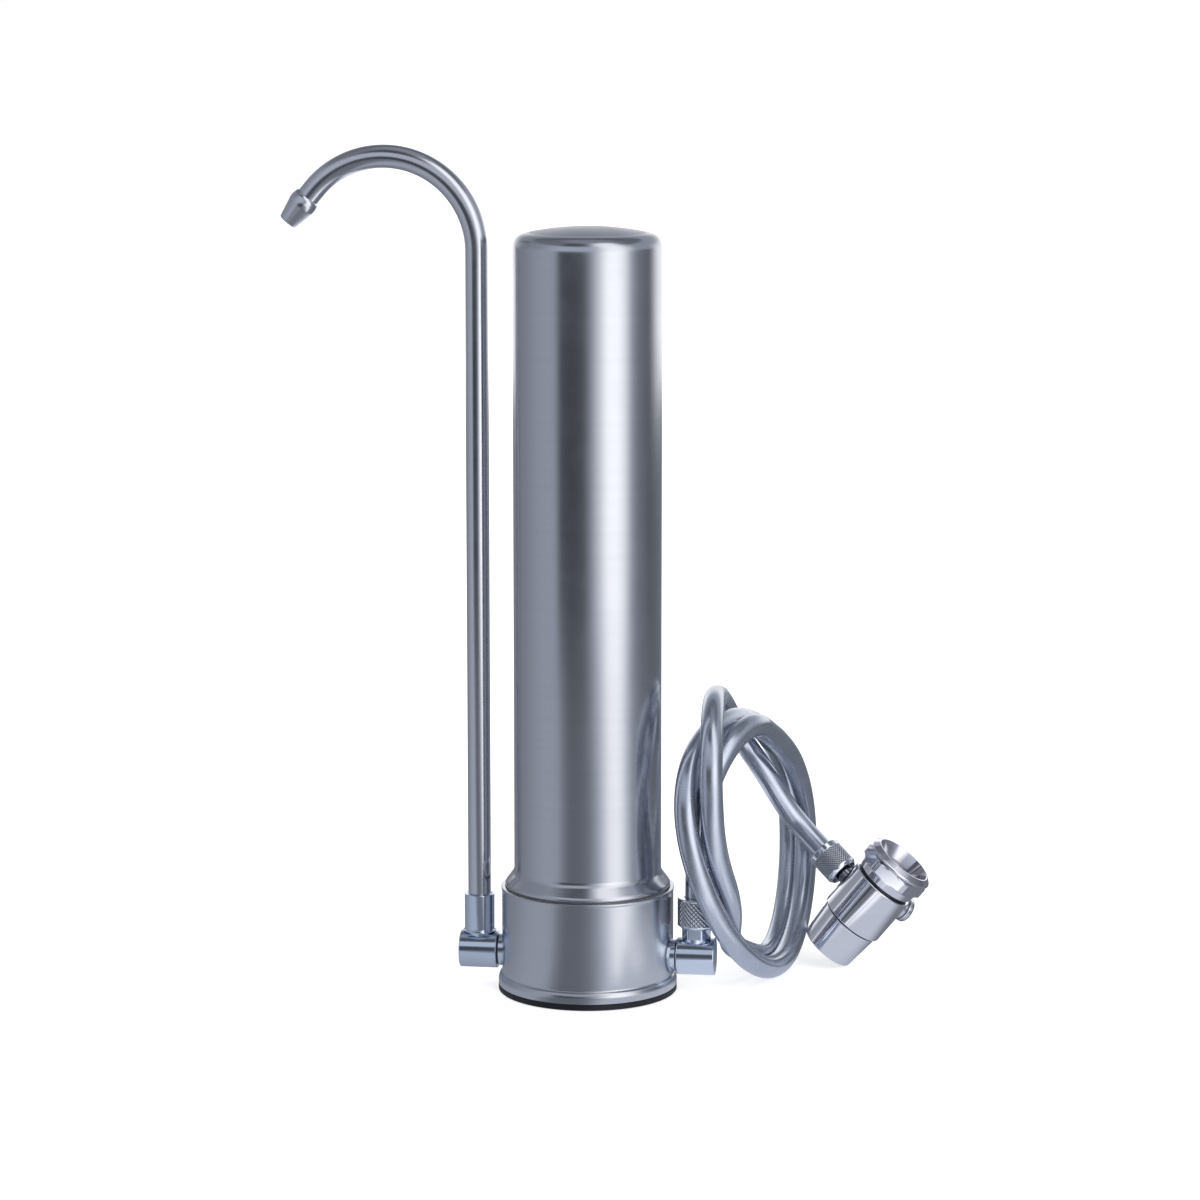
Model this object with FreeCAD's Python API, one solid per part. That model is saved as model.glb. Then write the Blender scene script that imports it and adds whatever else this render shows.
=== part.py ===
import FreeCAD, Part
import math
import os

# Countertop water filter: a steel housing on a base cup, a gooseneck spout, and a coiled hose with a faucet
# diverter valve at its end. Millimetres. The origin is the centre of the foot's underside and +Z is up. The
# spout stands at -X and the hose leaves at +X. The hose and the valve lie on the surface under the foot.


def vec(x, y, z):
    return FreeCAD.Vector(x, y, z)


# Clearances
SEAT_GAP = 0.05        # between round pieces that are fixed together
RUN_GAP = 0.08         # a running fit, on the radius
THREAD_GAP = 0.3       # threads are plain cylinders this far apart
FREE_GAP = 0.3         # between pieces that are only near each other
EDGE = 0.4             # small chamfer on turned edges

# Base: foot, cup and manifold
CUP_R = 37.4           # outside of the cup's wall
CUP_WALL = 1.5
CUP_FLOOR = 1.5
CUP_TOP = 46.3         # height of the cup's rim
RIM_BEAD = 0.35        # how far the rim's bead stands out
RIM_BEAD_H = 1.1
FOOT_H = 2.5
FOOT_STEP = 1.6        # the foot and the cup's lower bead stand out this far
LOWER_BEAD_H = 4.9
SCREW_CIRCLE_R = 22.0
SCREW_COUNT = 3
SCREW_R = 1.95
SCREW_LENGTH = 9.0
SCREW_HEAD_R = 3.6
SCREW_HEAD_H = 1.9
SCREW_DRIVE_R = 1.4
NECK_TOP = 58.5        # top of the manifold's threaded neck
NECK_WALL = 2.4
BOWL_FLOOR = 30.0      # height of the manifold's bowl, which the candle stands in
CHANNEL_R = 3.2        # water channels in the manifold
INLET_RISE_X = 17.0    # where the inlet channel comes up through the bowl's floor

# Housing
HOUSING_STEP = 5.4     # the housing's wall stands this far inside the cup's
HOUSING_R = CUP_R - HOUSING_STEP
SHELL_WALL = 1.2
HOUSING_TOP = 332.8
DOME_RISE = 4.0
CORNER_R = 6.0
FLARE_TOP = 53.3       # the skirt's cone runs between these heights
FLARE_LOW = 48.4
SKIRT_INSET = 1.4      # the skirt's rim lies this far inside the cup's outside
RING_WALL = 1.85       # the housing's threaded ring
RING_TOP = 58.0
GASKET_T = 1.4
SLIP_T = 1.0
SEAL_DROP = 0.3        # the ring's seat lies this far below the cup's rim

# Filter candle
WATER_GAP = 1.6        # between the candle's mount and the neck
MOUNT_WALL = 1.1
MOUNT_T = 3.5
MOUNT_LIP = 6.0
WASHER_T = 1.5
WASHER_R = 9.0
STEM_R = 4.8
STEM_BORE_R = 2.5
STEM_LENGTH = 11.0
CANDLE_LENGTH = 250.0
CANDLE_WALL = 6.0
CANDLE_DOME = 15.0
CORE_BORE_R = 3.0

# Elbows, alike on both sides of the cup
PORT_Z = 16.0
ELBOW_R = 8.25
ELBOW_LENGTH = 16.6
NECK_R = 7.0           # the elbow's neck beside the cup
NECK_LENGTH = 2.1
SADDLE_T = 1.2         # rubber saddle between neck and cup
NIPPLE_R = 5.5
NIPPLE_REACH = 14.0    # how far the nipple reaches in from the cup's outside
WATER_R = 3.0
SPIGOT_R = 5.2         # round neck of what stands on an elbow
SPIGOT_LENGTH = 5.2

# Spout
SOCKET_R = 6.6
SOCKET_LENGTH = 16.7
SOCKET_BEVEL = 0.4
SOCKET_FOOT_R = 8.2    # low cone at the foot of the socket
SOCKET_FOOT_H = 1.2
SOCKET_FLOOR = 2.7     # from the socket's foot to the ledge that the tube stands on
SOCKET_MOUTH = 0.6     # the mouth is this much wider than the bore, and twice as deep
TUBE_R = 5.0
TUBE_WALL = 1.0
ORING_R = 0.55         # section radius of the rings in the socket
ORING_HEIGHTS = (6.0, 9.5)
ARCH_Z = 322.0         # height of the arch's centre
ARCH_R = 39.8          # arch of the tube's centre line
ARCH_SWEEP = 140.0     # degrees, over the top and down towards the nozzle
TUBE_LEAD = 4.0        # straight tube after the arch
NOZZLE_LENGTH = 14.2
NOZZLE_R = 6.2
NOZZLE_TIP_R = 4.1
NOZZLE_SWELL = 3.2
NOZZLE_LAND = 1.5
NOZZLE_SPIGOT = 3.8    # shorter than the tube's straight lead
NOZZLE_BORE_R = 2.6

# Inlet stub and knurled nut
HEX_AF = 11.2
HEX_H = 4.2
HEX_TURN = -10.0       # degrees, how the stub's hexagon came to rest
THREAD_R = 5.95        # male thread inside a knurled nut
THREAD_LENGTH = 7.4
NUT_R = 8.35
NUT_LENGTH = 13.8
NUT_RIM = 0.2          # the nut's open end is turned in to this wall
NUT_TAPER_H = 1.5
NUT_CLOSED = 3.0       # thickness of the nut's closed end
OLIVE_LENGTH = 2.4
FERRULE_LENGTH = 9.4   # end of the hose, held inside the nut

# Hose
HOSE_R = 5.0
COIL_START = 0.05      # in turns, counted from the top of the first turn
COIL_END = 1.48
COIL_PARTS = 6         # pairs of arcs, each about a quarter turn
COIL_X = 72.0
COIL_Y = 16.5
COIL_DRIFT = vec(-6.5, 20.5, 1.0)      # of the loop's centre, per turn
COIL_WIDE = vec(21.0, 59.0, -17.5)     # half of the loop's width
COIL_HIGH = vec(-3.0, 12.0, 51.5)      # half of the loop's height
COIL_SHRINK = vec(-1.5, -10.5, -3.0)   # change of the half width, per turn
COIL_OVAL = vec(-2.5, 3.0, -0.5)       # two terms that make the loop out of round
COIL_SKEW = vec(1.0, 4.5, 0.5)
COIL_REST = 0.02       # the coil's lowest point lies this far above the table
RISER_STRAIGHT = 16.5
RISER_POINTS = [vec(49.5, -7.5, 77.0), vec(54.5, -5.5, 97.0), vec(62.5, 5.0, 111.5)]
RISER_LAST = 19.0      # last run, in line with the coil's straight end
END_FIRST = 15.5       # first run after the coil
END_POINTS = [
    vec(63.8, -2.4, 39.0), vec(57.0, -13.0, 65.5), vec(55.9, -19.1, 92.5), vec(55.4, -14.1, 112.6),
    vec(54.5, 0.0, 125.2), vec(53.4, 19.8, 127.7), vec(52.8, 41.5, 123.5), vec(54.4, 59.9, 113.8),
    vec(60.3, 69.0, 98.7), vec(70.5, 68.5, 84.5), vec(80.0, 71.0, 68.0),
]
END_STRAIGHT = 13.3    # last run, in line with the valve's port
ARC_SHARE = 0.45       # share of the shorter run that a corner's arc takes

# Diverter valve, along its own axis from the lower rim
VALVE_X = 100.8
VALVE_Y = 55.5
VALVE_LEAN = 39.1      # degrees from upright
VALVE_HEADING = -7.1   # degrees, which way it leans
PORT_TURN = 161.2       # degrees about its axis to the hose port
KNOB_TURN = -130.0      # degrees from the hose port to the knob
SLEEVE_R = 13.65
SLEEVE_RIM_R = 12.3
SLEEVE_LENGTH = 17.8
SLEEVE_WALL = 1.5
SLEEVE_EDGE = 0.5
BODY_R = 14.65
BODY_LENGTH = 22.2
BODY_BORE_R = 5.0
BODY_SPIGOT = 8.3
AERATOR_INSET = 2.6
AERATOR_T = 5.0
SCREEN_T = 0.6
JET_R = 0.8
JET_PITCH = 3.0
PORT_ALONG = 29.5      # hose port's axis
PORT_NUT_START = 17.2  # the knurled nut, measured out from the valve's axis
PORT_NUT_R = 7.6
PORT_NUT_LENGTH = 14.0
STUB_R = 4.0
STUB_BORE_R = 2.4
KNOB_ALONG = 34.3
GLAND_R = 5.6
GLAND_PROUD = 1.0
GLAND_DEPTH = 4.5
KNOB_R = 5.8
KNOB_T = 2.8
STEM_ROD_R = 2.0
SPOOL_R = 3.4
SPOOL_LENGTH = 5.0
KNOB_PULL = 4.0
FLANGE_R = 13.9
FLANGE_T = 1.6
HEX_NUT_AF = 28.6
HEX_NUT_CONE = 3.0     # height of the round cone between the flange and the hexagon
HEX_NUT_H = 6.2
HEX_NUT_EDGE = 15.9    # the hexagon's corners are turned off to this radius
HEX_NUT_BEVEL = 1.0
THROAT_R = 9.6         # the valve's neck that the swivel nut turns on
CLIP_T = 1.0
CLIP_WIDE = 1.3
COLLAR_R = 15.9
COLLAR_H = 3.2
COLLAR_BRIM = 1.2      # height of the collar's round brim under its sloping top
COLLAR_GROOVE = 0.4
ADAPTER_WALL = 1.1
FAUCET_R = 10.5        # bore of the faucet thread
FAUCET_THREAD = 5.3
DISH_R = 13.0
DISH_DEPTH = 2.6
FAUCET_WASHER_T = 1.5
FAUCET_WASHER_BORE = 6.5

# Worked out from the values above
CUP_BASE = FOOT_H
MANIFOLD_BASE = CUP_BASE + CUP_FLOOR
MANIFOLD_R = CUP_R - CUP_WALL - FREE_GAP
SHELL_BORE = HOUSING_R - SHELL_WALL
RING_R = SHELL_BORE - SEAT_GAP
RING_BORE = RING_R - RING_WALL
THREADED_NECK_R = RING_BORE - THREAD_GAP
BOWL_R = THREADED_NECK_R - NECK_WALL
RING_SEAT = CUP_TOP - SEAL_DROP
GASKET_SEAT = RING_SEAT - SLIP_T - GASKET_T
MOUNT_R = BOWL_R - WATER_GAP
MOUNT_BASE = BOWL_FLOOR + WASHER_T
CANDLE_BASE = MOUNT_BASE + MOUNT_T
CANDLE_R = MOUNT_R - MOUNT_WALL - SEAT_GAP
CANDLE_BORE = CANDLE_R - CANDLE_WALL
ELBOW_START = CUP_R + NECK_LENGTH
FITTING_X = ELBOW_START + ELBOW_LENGTH / 2
ELBOW_TOP = PORT_Z + ELBOW_R
FITTING_BASE = ELBOW_TOP + SEAT_GAP
TUBE_FOOT = FITTING_BASE + SOCKET_FLOOR
HEX_TOP = FITTING_BASE + HEX_H
HOSE_BORE_R = HOSE_R + FREE_GAP


def turned(*outline):
    """A solid turned about Z. A corner is (radius, height); a pair of corners is an arc through the first."""
    def at(corner):
        return vec(corner[0], 0, corner[1])

    edges = []
    here = at(outline[0])
    for step in outline[1:] + (outline[0],):
        if isinstance(step[0], tuple):
            edges.append(Part.Arc(here, at(step[0]), at(step[1])).toShape())
            here = at(step[1])
        elif (at(step) - here).Length > 1e-6:
            edges.append(Part.LineSegment(here, at(step)).toShape())
            here = at(step)
    face = Part.Face(Part.Wire(edges))
    return face.revolve(vec(0, 0, 0), vec(0, 0, 1), 360)


def rod(radius, low, high):
    return Part.makeCylinder(radius, high - low, vec(0, 0, low))


def ring(inner, outer, low, high, low_edge=0.0, high_edge=0.0):
    """A turned ring, with its outer edges chamfered."""
    return turned((inner, low), (outer - low_edge, low), (outer, low + low_edge),
                  (outer, high - high_edge), (outer - high_edge, high), (inner, high))


def hexagon(across_flats, low, high):
    radius = across_flats / 2 / math.cos(math.radians(30))
    corners = [vec(radius * math.cos(math.radians(a)), radius * math.sin(math.radians(a)), low)
               for a in range(0, 361, 60)]
    return Part.Face(Part.makePolygon(corners)).extrude(vec(0, 0, high - low))


def pointing(shape, start, direction):
    """A shape made about Z from height 0, laid from start along direction."""
    turn = FreeCAD.Rotation(vec(0, 0, 1), direction)
    return shape.transformed(FreeCAD.Placement(start, turn).toMatrix())


def moved(shape, x, y, z):
    return shape.translated(vec(x, y, z))


def about_z(shape, degrees):
    turn = FreeCAD.Rotation(vec(0, 0, 1), degrees)
    return shape.transformed(FreeCAD.Placement(vec(0, 0, 0), turn).toMatrix())


def crown(radius, low, rise):
    """The arc of a low dome, from its edge at this radius up to the axis: its middle, then its top."""
    ball = (radius ** 2 + rise ** 2) / (2 * rise)
    centre = low + rise - ball
    half = math.asin(min(1.0, radius / ball)) / 2
    return ((ball * math.sin(half), centre + ball * math.cos(half)), (0.0, low + rise))


def foot_pad():
    pad = ring(0, CUP_R + FOOT_STEP, 0, FOOT_H, low_edge=EDGE)
    for x, y in screw_places():
        pad = pad.cut(moved(rod(SCREW_HEAD_R + FREE_GAP, -1, FOOT_H + 1), x, y, 0))
    return pad


def screw_places():
    """Even spacing round the base, clear of the water channels."""
    step = 360 / SCREW_COUNT
    angles = [math.radians(90 + step * i) for i in range(SCREW_COUNT)]
    return [(SCREW_CIRCLE_R * math.cos(a), SCREW_CIRCLE_R * math.sin(a)) for a in angles]


def base_cup():
    bead = CUP_R + FOOT_STEP
    bead_top = CUP_BASE + LOWER_BEAD_H
    rim = CUP_R + RIM_BEAD
    bead_low = CUP_TOP - RIM_BEAD_H
    bore = CUP_R - CUP_WALL
    cup = turned(
        (0, CUP_BASE), (bead - EDGE, CUP_BASE), (bead, CUP_BASE + EDGE), (bead, bead_top - 2 * EDGE),
        (bead - FOOT_STEP / 2, bead_top), (CUP_R, bead_top + FOOT_STEP / 2), (CUP_R, bead_low),
        ((rim, CUP_TOP - RIM_BEAD_H / 2), (CUP_R, CUP_TOP)), (bore, CUP_TOP), (bore, MANIFOLD_BASE),
        (0, MANIFOLD_BASE))
    hole = pointing(rod(NIPPLE_R + FREE_GAP, -1.2 * CUP_R, 1.2 * CUP_R), vec(0, 0, PORT_Z), vec(1, 0, 0))
    cup = cup.cut(hole)
    for x, y in screw_places():
        cup = cup.cut(moved(rod(SCREW_R + FREE_GAP, CUP_BASE - 1, MANIFOLD_BASE + 1), x, y, 0))
    return cup


def base_manifold():
    body = turned((0, MANIFOLD_BASE), (MANIFOLD_R, MANIFOLD_BASE), (MANIFOLD_R, GASKET_SEAT),
                  (THREADED_NECK_R, GASKET_SEAT), (THREADED_NECK_R, NECK_TOP - EDGE),
                  (THREADED_NECK_R - EDGE, NECK_TOP), (BOWL_R, NECK_TOP), (BOWL_R, BOWL_FLOOR),
                  (0, BOWL_FLOOR))
    stem_hole = rod(STEM_R + THREAD_GAP, MOUNT_BASE - STEM_LENGTH - FREE_GAP, BOWL_FLOOR + 1)
    outlet = pointing(rod(CHANNEL_R, 0, MANIFOLD_R), vec(0, 0, PORT_Z), vec(-1, 0, 0))
    down = rod(CHANNEL_R, PORT_Z, BOWL_FLOOR)
    inlet = pointing(rod(CHANNEL_R, INLET_RISE_X, MANIFOLD_R), vec(0, 0, PORT_Z), vec(1, 0, 0))
    rise = moved(rod(CHANNEL_R, PORT_Z, BOWL_FLOOR + 1), INLET_RISE_X, 0, 0)
    body = body.cut(stem_hole.fuse([outlet, down]))
    body = body.cut(inlet.fuse(rise))
    inner_end = CUP_R - NIPPLE_REACH - FREE_GAP
    for side in (-1, 1):
        port = pointing(rod(NIPPLE_R + THREAD_GAP, inner_end, CUP_R), vec(0, 0, PORT_Z), vec(side, 0, 0))
        body = body.cut(port)
    for x, y in screw_places():
        pilot = rod(SCREW_R + SEAT_GAP, MANIFOLD_BASE - 1, CUP_BASE + SCREW_LENGTH + FREE_GAP)
        body = body.cut(moved(pilot, x, y, 0))
    return body


def base_screws():
    screws = []
    for x, y in screw_places():
        head = ring(0, SCREW_HEAD_R, CUP_BASE - SCREW_HEAD_H, CUP_BASE, low_edge=EDGE)
        drive = rod(SCREW_DRIVE_R, CUP_BASE - SCREW_HEAD_H - 1, CUP_BASE - SCREW_HEAD_H / 2)
        screw = head.fuse(rod(SCREW_R, CUP_BASE, CUP_BASE + SCREW_LENGTH)).cut(drive)
        screws.append(moved(screw.removeSplitter(), x, y, 0))
    return Part.makeCompound(screws)


def dome_outline(inset):
    """The housing's top, set in by a wall: the wall's end, the round corner and the low dome."""
    ball = (HOUSING_R ** 2 + DOME_RISE ** 2) / (2 * DOME_RISE)
    centre = HOUSING_TOP - ball
    corner_x = HOUSING_R - CORNER_R
    corner_z = centre + math.sqrt((ball - CORNER_R) ** 2 - corner_x ** 2)
    slope = math.atan2(corner_z - centre, corner_x)
    corner = CORNER_R - inset
    reach = ball - inset
    middle = slope / 2
    upper = (slope + math.pi / 2) / 2
    return ((corner_x + corner, corner_z),
            (corner_x + corner * math.cos(middle), corner_z + corner * math.sin(middle)),
            (reach * math.cos(slope), centre + reach * math.sin(slope)),
            (reach * math.cos(upper), centre + reach * math.sin(upper)),
            (0.0, centre + reach))


def housing_shell():
    skirt = CUP_R - SKIRT_INSET
    rim = CUP_TOP + FREE_GAP
    wall_end, corner, dome_edge, dome, top = dome_outline(0)
    in_wall_end, in_corner, in_dome_edge, in_dome, in_top = dome_outline(SHELL_WALL)
    return turned(
        (skirt - EDGE, rim), (skirt, rim + EDGE),
        ((skirt - EDGE / 4, (rim + FLARE_LOW) / 2 + EDGE), (skirt - EDGE, FLARE_LOW)), (HOUSING_R, FLARE_TOP),
        wall_end, (corner, dome_edge), (dome, top),
        in_top, (in_dome, in_dome_edge), (in_corner, in_wall_end), (SHELL_BORE, FLARE_TOP - SHELL_WALL / 2),
        (skirt - SHELL_WALL, FLARE_LOW - SHELL_WALL), (skirt - SHELL_WALL, rim))


def housing_thread_ring():
    skirt = CUP_R - SKIRT_INSET - SHELL_WALL - SEAT_GAP
    return turned((RING_BORE, RING_SEAT), (skirt, RING_SEAT), (skirt, FLARE_LOW - SHELL_WALL),
                  (RING_R, FLARE_TOP - SHELL_WALL / 2), (RING_R, RING_TOP), (RING_BORE, RING_TOP))


def seal_ring(low, high):
    return ring(THREADED_NECK_R + 2 * FREE_GAP, MANIFOLD_R - FREE_GAP, low, high)


def candle_washer():
    return ring(STEM_R + FREE_GAP, WASHER_R, BOWL_FLOOR, MOUNT_BASE)


def candle_mount():
    mount = turned((STEM_BORE_R, MOUNT_BASE - STEM_LENGTH), (STEM_R, MOUNT_BASE - STEM_LENGTH),
                   (STEM_R, MOUNT_BASE), (MOUNT_R - EDGE, MOUNT_BASE), (MOUNT_R, MOUNT_BASE + EDGE),
                   (MOUNT_R, CANDLE_BASE + MOUNT_LIP), (MOUNT_R - MOUNT_WALL, CANDLE_BASE + MOUNT_LIP),
                   (MOUNT_R - MOUNT_WALL, CANDLE_BASE), (STEM_BORE_R, CANDLE_BASE))
    return mount


def ceramic_candle():
    edge = CANDLE_BASE + CANDLE_LENGTH - CANDLE_DOME
    middle, top = crown(CANDLE_R, edge, CANDLE_DOME)
    inner_rise = CANDLE_DOME - CANDLE_WALL / 2
    inner_edge = edge + CANDLE_DOME - CANDLE_WALL - inner_rise
    in_middle, in_top = crown(CANDLE_BORE, inner_edge, inner_rise)
    return turned((CANDLE_BORE, CANDLE_BASE), (CANDLE_R, CANDLE_BASE), (CANDLE_R, edge), (middle, top),
                  in_top, (in_middle, (CANDLE_BORE, inner_edge)))


def carbon_core():
    top = CANDLE_BASE + CANDLE_LENGTH - CANDLE_DOME - CANDLE_WALL
    core_r = CANDLE_BORE - FREE_GAP
    return turned((CORE_BORE_R, CANDLE_BASE), (core_r, CANDLE_BASE), (core_r, top),
                  (0, top), (0, top - CANDLE_WALL), (CORE_BORE_R, top - CANDLE_WALL))


def elbow(side):
    """A turned block beside the cup, with its nipple through the wall and a round seat on top."""
    block = turned((0, CUP_R - NIPPLE_REACH), (NIPPLE_R - EDGE, CUP_R - NIPPLE_REACH),
                   (NIPPLE_R, CUP_R - NIPPLE_REACH + EDGE), (NIPPLE_R, CUP_R + SADDLE_T),
                   (NECK_R, CUP_R + SADDLE_T), (NECK_R, ELBOW_START), (ELBOW_R - EDGE, ELBOW_START),
                   (ELBOW_R, ELBOW_START + EDGE), (ELBOW_R, ELBOW_START + ELBOW_LENGTH - EDGE),
                   (ELBOW_R - EDGE, ELBOW_START + ELBOW_LENGTH), (0, ELBOW_START + ELBOW_LENGTH))
    block = block.cut(rod(WATER_R, 0, FITTING_X))
    block = pointing(block, vec(0, 0, PORT_Z), vec(side, 0, 0))
    rise = rod(WATER_R, PORT_Z, ELBOW_TOP + 1)
    seat = rod(SPIGOT_R + SEAT_GAP, FITTING_BASE - SPIGOT_LENGTH, ELBOW_TOP + 1)
    return block.cut(moved(rise.fuse(seat), side * FITTING_X, 0, 0))


def saddle_seal(side):
    washer = pointing(ring(NIPPLE_R + SEAT_GAP, NECK_R, CUP_R - NECK_R, CUP_R + SADDLE_T),
                      vec(0, 0, PORT_Z), vec(side, 0, 0))
    return washer.cut(rod(CUP_R + SEAT_GAP, 0, CUP_TOP))


def spout_socket():
    top = FITTING_BASE + SOCKET_LENGTH
    bore = TUBE_R + RUN_GAP
    socket = turned((WATER_R, FITTING_BASE - SPIGOT_LENGTH), (SPIGOT_R, FITTING_BASE - SPIGOT_LENGTH),
                    (SPIGOT_R, FITTING_BASE), (SOCKET_FOOT_R, FITTING_BASE),
                    (SOCKET_R, FITTING_BASE + SOCKET_FOOT_H), (SOCKET_R, top - SOCKET_BEVEL),
                    (SOCKET_R - SOCKET_BEVEL, top), (bore + SOCKET_MOUTH, top),
                    (bore + SOCKET_MOUTH, top - 2 * SOCKET_MOUTH), (bore, top - 2 * SOCKET_MOUTH),
                    (bore, TUBE_FOOT), (WATER_R, TUBE_FOOT))
    half = ORING_R + SEAT_GAP
    for height in ORING_HEIGHTS:
        middle = FITTING_BASE + height
        groove = ring(bore - 1, oring_centre() + half, middle - half, middle + half)
        socket = socket.cut(groove)
    return moved(socket, -FITTING_X, 0, 0)


def oring_centre():
    return TUBE_R + RUN_GAP / 2 + ORING_R


def spout_orings():
    rings = [Part.makeTorus(oring_centre(), ORING_R, vec(-FITTING_X, 0, FITTING_BASE + height))
             for height in ORING_HEIGHTS]
    return Part.makeCompound(rings)


def arch_end():
    """Where the spout's arch ends, and which way it points there."""
    sweep = math.radians(ARCH_SWEEP)
    centre = vec(-FITTING_X - ARCH_R, 0, ARCH_Z)
    end = centre + vec(ARCH_R * math.cos(sweep), 0, ARCH_R * math.sin(sweep))
    return end, vec(-math.sin(sweep), 0, math.cos(sweep))


def spout_tube():
    foot = vec(-FITTING_X, 0, TUBE_FOOT)
    bend = vec(-FITTING_X, 0, ARCH_Z)
    half = math.radians(ARCH_SWEEP / 2)
    crest = vec(-FITTING_X - ARCH_R + ARCH_R * math.cos(half), 0, ARCH_Z + ARCH_R * math.sin(half))
    end, heading = arch_end()
    path = Part.Wire([Part.LineSegment(foot, bend).toShape(), Part.Arc(bend, crest, end).toShape(),
                      Part.LineSegment(end, end + heading * TUBE_LEAD).toShape()])

    def swept(radius):
        circle = Part.Wire(Part.makeCircle(radius, foot, vec(0, 0, 1)))
        return path.makePipeShell([circle], True, False)

    return swept(TUBE_R).cut(swept(TUBE_R - TUBE_WALL))


def spout_nozzle():
    spigot = TUBE_R - TUBE_WALL - SEAT_GAP
    nozzle = turned((NOZZLE_BORE_R, -NOZZLE_SPIGOT), (spigot, -NOZZLE_SPIGOT), (spigot, 0), (TUBE_R, 0),
                    ((NOZZLE_R - EDGE, NOZZLE_SWELL / 2), (NOZZLE_R, NOZZLE_SWELL)),
                    (NOZZLE_R, NOZZLE_SWELL + NOZZLE_LAND),
                    (NOZZLE_TIP_R + EDGE / 2, NOZZLE_LENGTH - EDGE / 2),
                    (NOZZLE_TIP_R, NOZZLE_LENGTH), (NOZZLE_BORE_R, NOZZLE_LENGTH))
    end, heading = arch_end()
    return pointing(nozzle, end + heading * TUBE_LEAD, heading)


def union_thread(bore, hose_end, low, length):
    """A threaded end with a socket for the hose's end."""
    pocket = HOSE_R + SEAT_GAP
    top = low + length
    return turned((bore, low), (THREAD_R, low), (THREAD_R, top - EDGE), (THREAD_R - EDGE, top), (pocket, top),
                  (pocket, hose_end), (bore, hose_end))


def inlet_stub():
    ferrule_end = HEX_TOP + NUT_LENGTH - FERRULE_LENGTH
    body = hexagon(HEX_AF, FITTING_BASE, HEX_TOP)
    body = about_z(body, HEX_TURN).cut(rod(WATER_R, 0, HEX_TOP + 1))
    neck = ring(WATER_R, SPIGOT_R, FITTING_BASE - SPIGOT_LENGTH, FITTING_BASE)
    thread = union_thread(WATER_R, ferrule_end, HEX_TOP, THREAD_LENGTH)
    return moved(body.fuse([neck, thread]).removeSplitter(), FITTING_X, 0, 0)


def hose_ferrule(length):
    """The end of the hose inside its nut, over the water's bore."""
    return ring(WATER_R, HOSE_R, -length, 0)


def olive(nut_length):
    """The ring that a nut presses onto the hose's end, in a nut of this length from height 0."""
    outer = THREAD_R + THREAD_GAP - SEAT_GAP
    inner = HOSE_R + SEAT_GAP
    top = nut_length - NUT_CLOSED - SEAT_GAP
    low = top - OLIVE_LENGTH
    return turned((inner, low), (outer - EDGE, low), (outer, low + EDGE), (outer, top), (inner, top))


def union_nut(radius, length):
    """A knurled nut from height 0: open below, closed round the hose above."""
    bore = THREAD_R + THREAD_GAP
    return turned((bore, 0), (bore + NUT_RIM, 0), (radius, NUT_TAPER_H), (radius, length - EDGE),
                  (radius - EDGE, length), (HOSE_BORE_R, length), (HOSE_BORE_R, length - NUT_CLOSED),
                  (bore, length - NUT_CLOSED))


def inlet_nut():
    return moved(union_nut(NUT_R, NUT_LENGTH - SEAT_GAP), FITTING_X, 0, HEX_TOP + SEAT_GAP)


def coil_point(turns, centre_z=0.0):
    """A loop that drifts and narrows as it turns: a centre, two half axes and two out-of-round terms."""
    a = math.pi / 2 - 2 * math.pi * turns
    wide = COIL_WIDE + COIL_SHRINK * turns
    return (vec(COIL_X, COIL_Y, centre_z) + COIL_DRIFT * turns + wide * math.cos(a) + COIL_HIGH * math.sin(a)
            + COIL_OVAL * math.cos(2 * a) + COIL_SKEW * math.sin(2 * a))


def coil_heading(turns):
    step = 1e-4
    return (coil_point(turns + step) - coil_point(turns - step)).normalize()


def tangent_arc(start, heading, end):
    """The arc that leaves start along heading and reaches end, and its points."""
    chord = end - start
    side = (chord - heading * chord.dot(heading))
    side.normalize()
    radius = chord.Length ** 2 / (2 * chord.dot(side))
    centre = start + side * radius
    sweep = 2 * math.atan2(chord.dot(side), chord.dot(heading))

    def at(share):
        return centre - side * radius * math.cos(sweep * share) + heading * radius * math.sin(sweep * share)

    return at, radius


def coil_arcs(centre_z):
    """Pairs of tangent arcs along the loop, as functions of their share, with their radii."""
    arcs = []
    step = (COIL_END - COIL_START) / COIL_PARTS
    for i in range(COIL_PARTS):
        here, there = COIL_START + i * step, COIL_START + (i + 1) * step
        start, end = coil_point(here, centre_z), coil_point(there, centre_z)
        out, back = coil_heading(here), coil_heading(there)
        chord = end - start
        along = chord.dot(out + back)
        spread = 2 * (1 - out.dot(back))
        reach = (math.sqrt(along ** 2 + spread * chord.dot(chord)) - along) / spread
        joint = (start + out * reach + end - back * reach) * 0.5
        first, first_r = tangent_arc(start, out, joint)
        second, second_r = tangent_arc(end, back * -1, joint)
        arcs.append((first, first_r, False))
        arcs.append((second, second_r, True))
    return arcs


def arc_points(arcs, count):
    points = []
    for at, _, backwards in arcs:
        shares = [i / count for i in range(count + 1)]
        points += [at(1 - s) if backwards else at(s) for s in shares]
    return points


def coil_lift():
    """How high the coil's centre lies, so that its lowest point rests on the table."""
    lowest = min(p.z for p in arc_points(coil_arcs(0.0), 60))
    return HOSE_R + COIL_REST - lowest


def coil_ends():
    """Where the coil's straight ends stop, and the heading of each."""
    lift = coil_lift()
    out, back = coil_heading(COIL_START), coil_heading(COIL_END)
    start = coil_point(COIL_START, lift) - out * 2 * HOSE_R
    end = coil_point(COIL_END, lift) + back * 2 * HOSE_R
    return start, out, end, back


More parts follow.
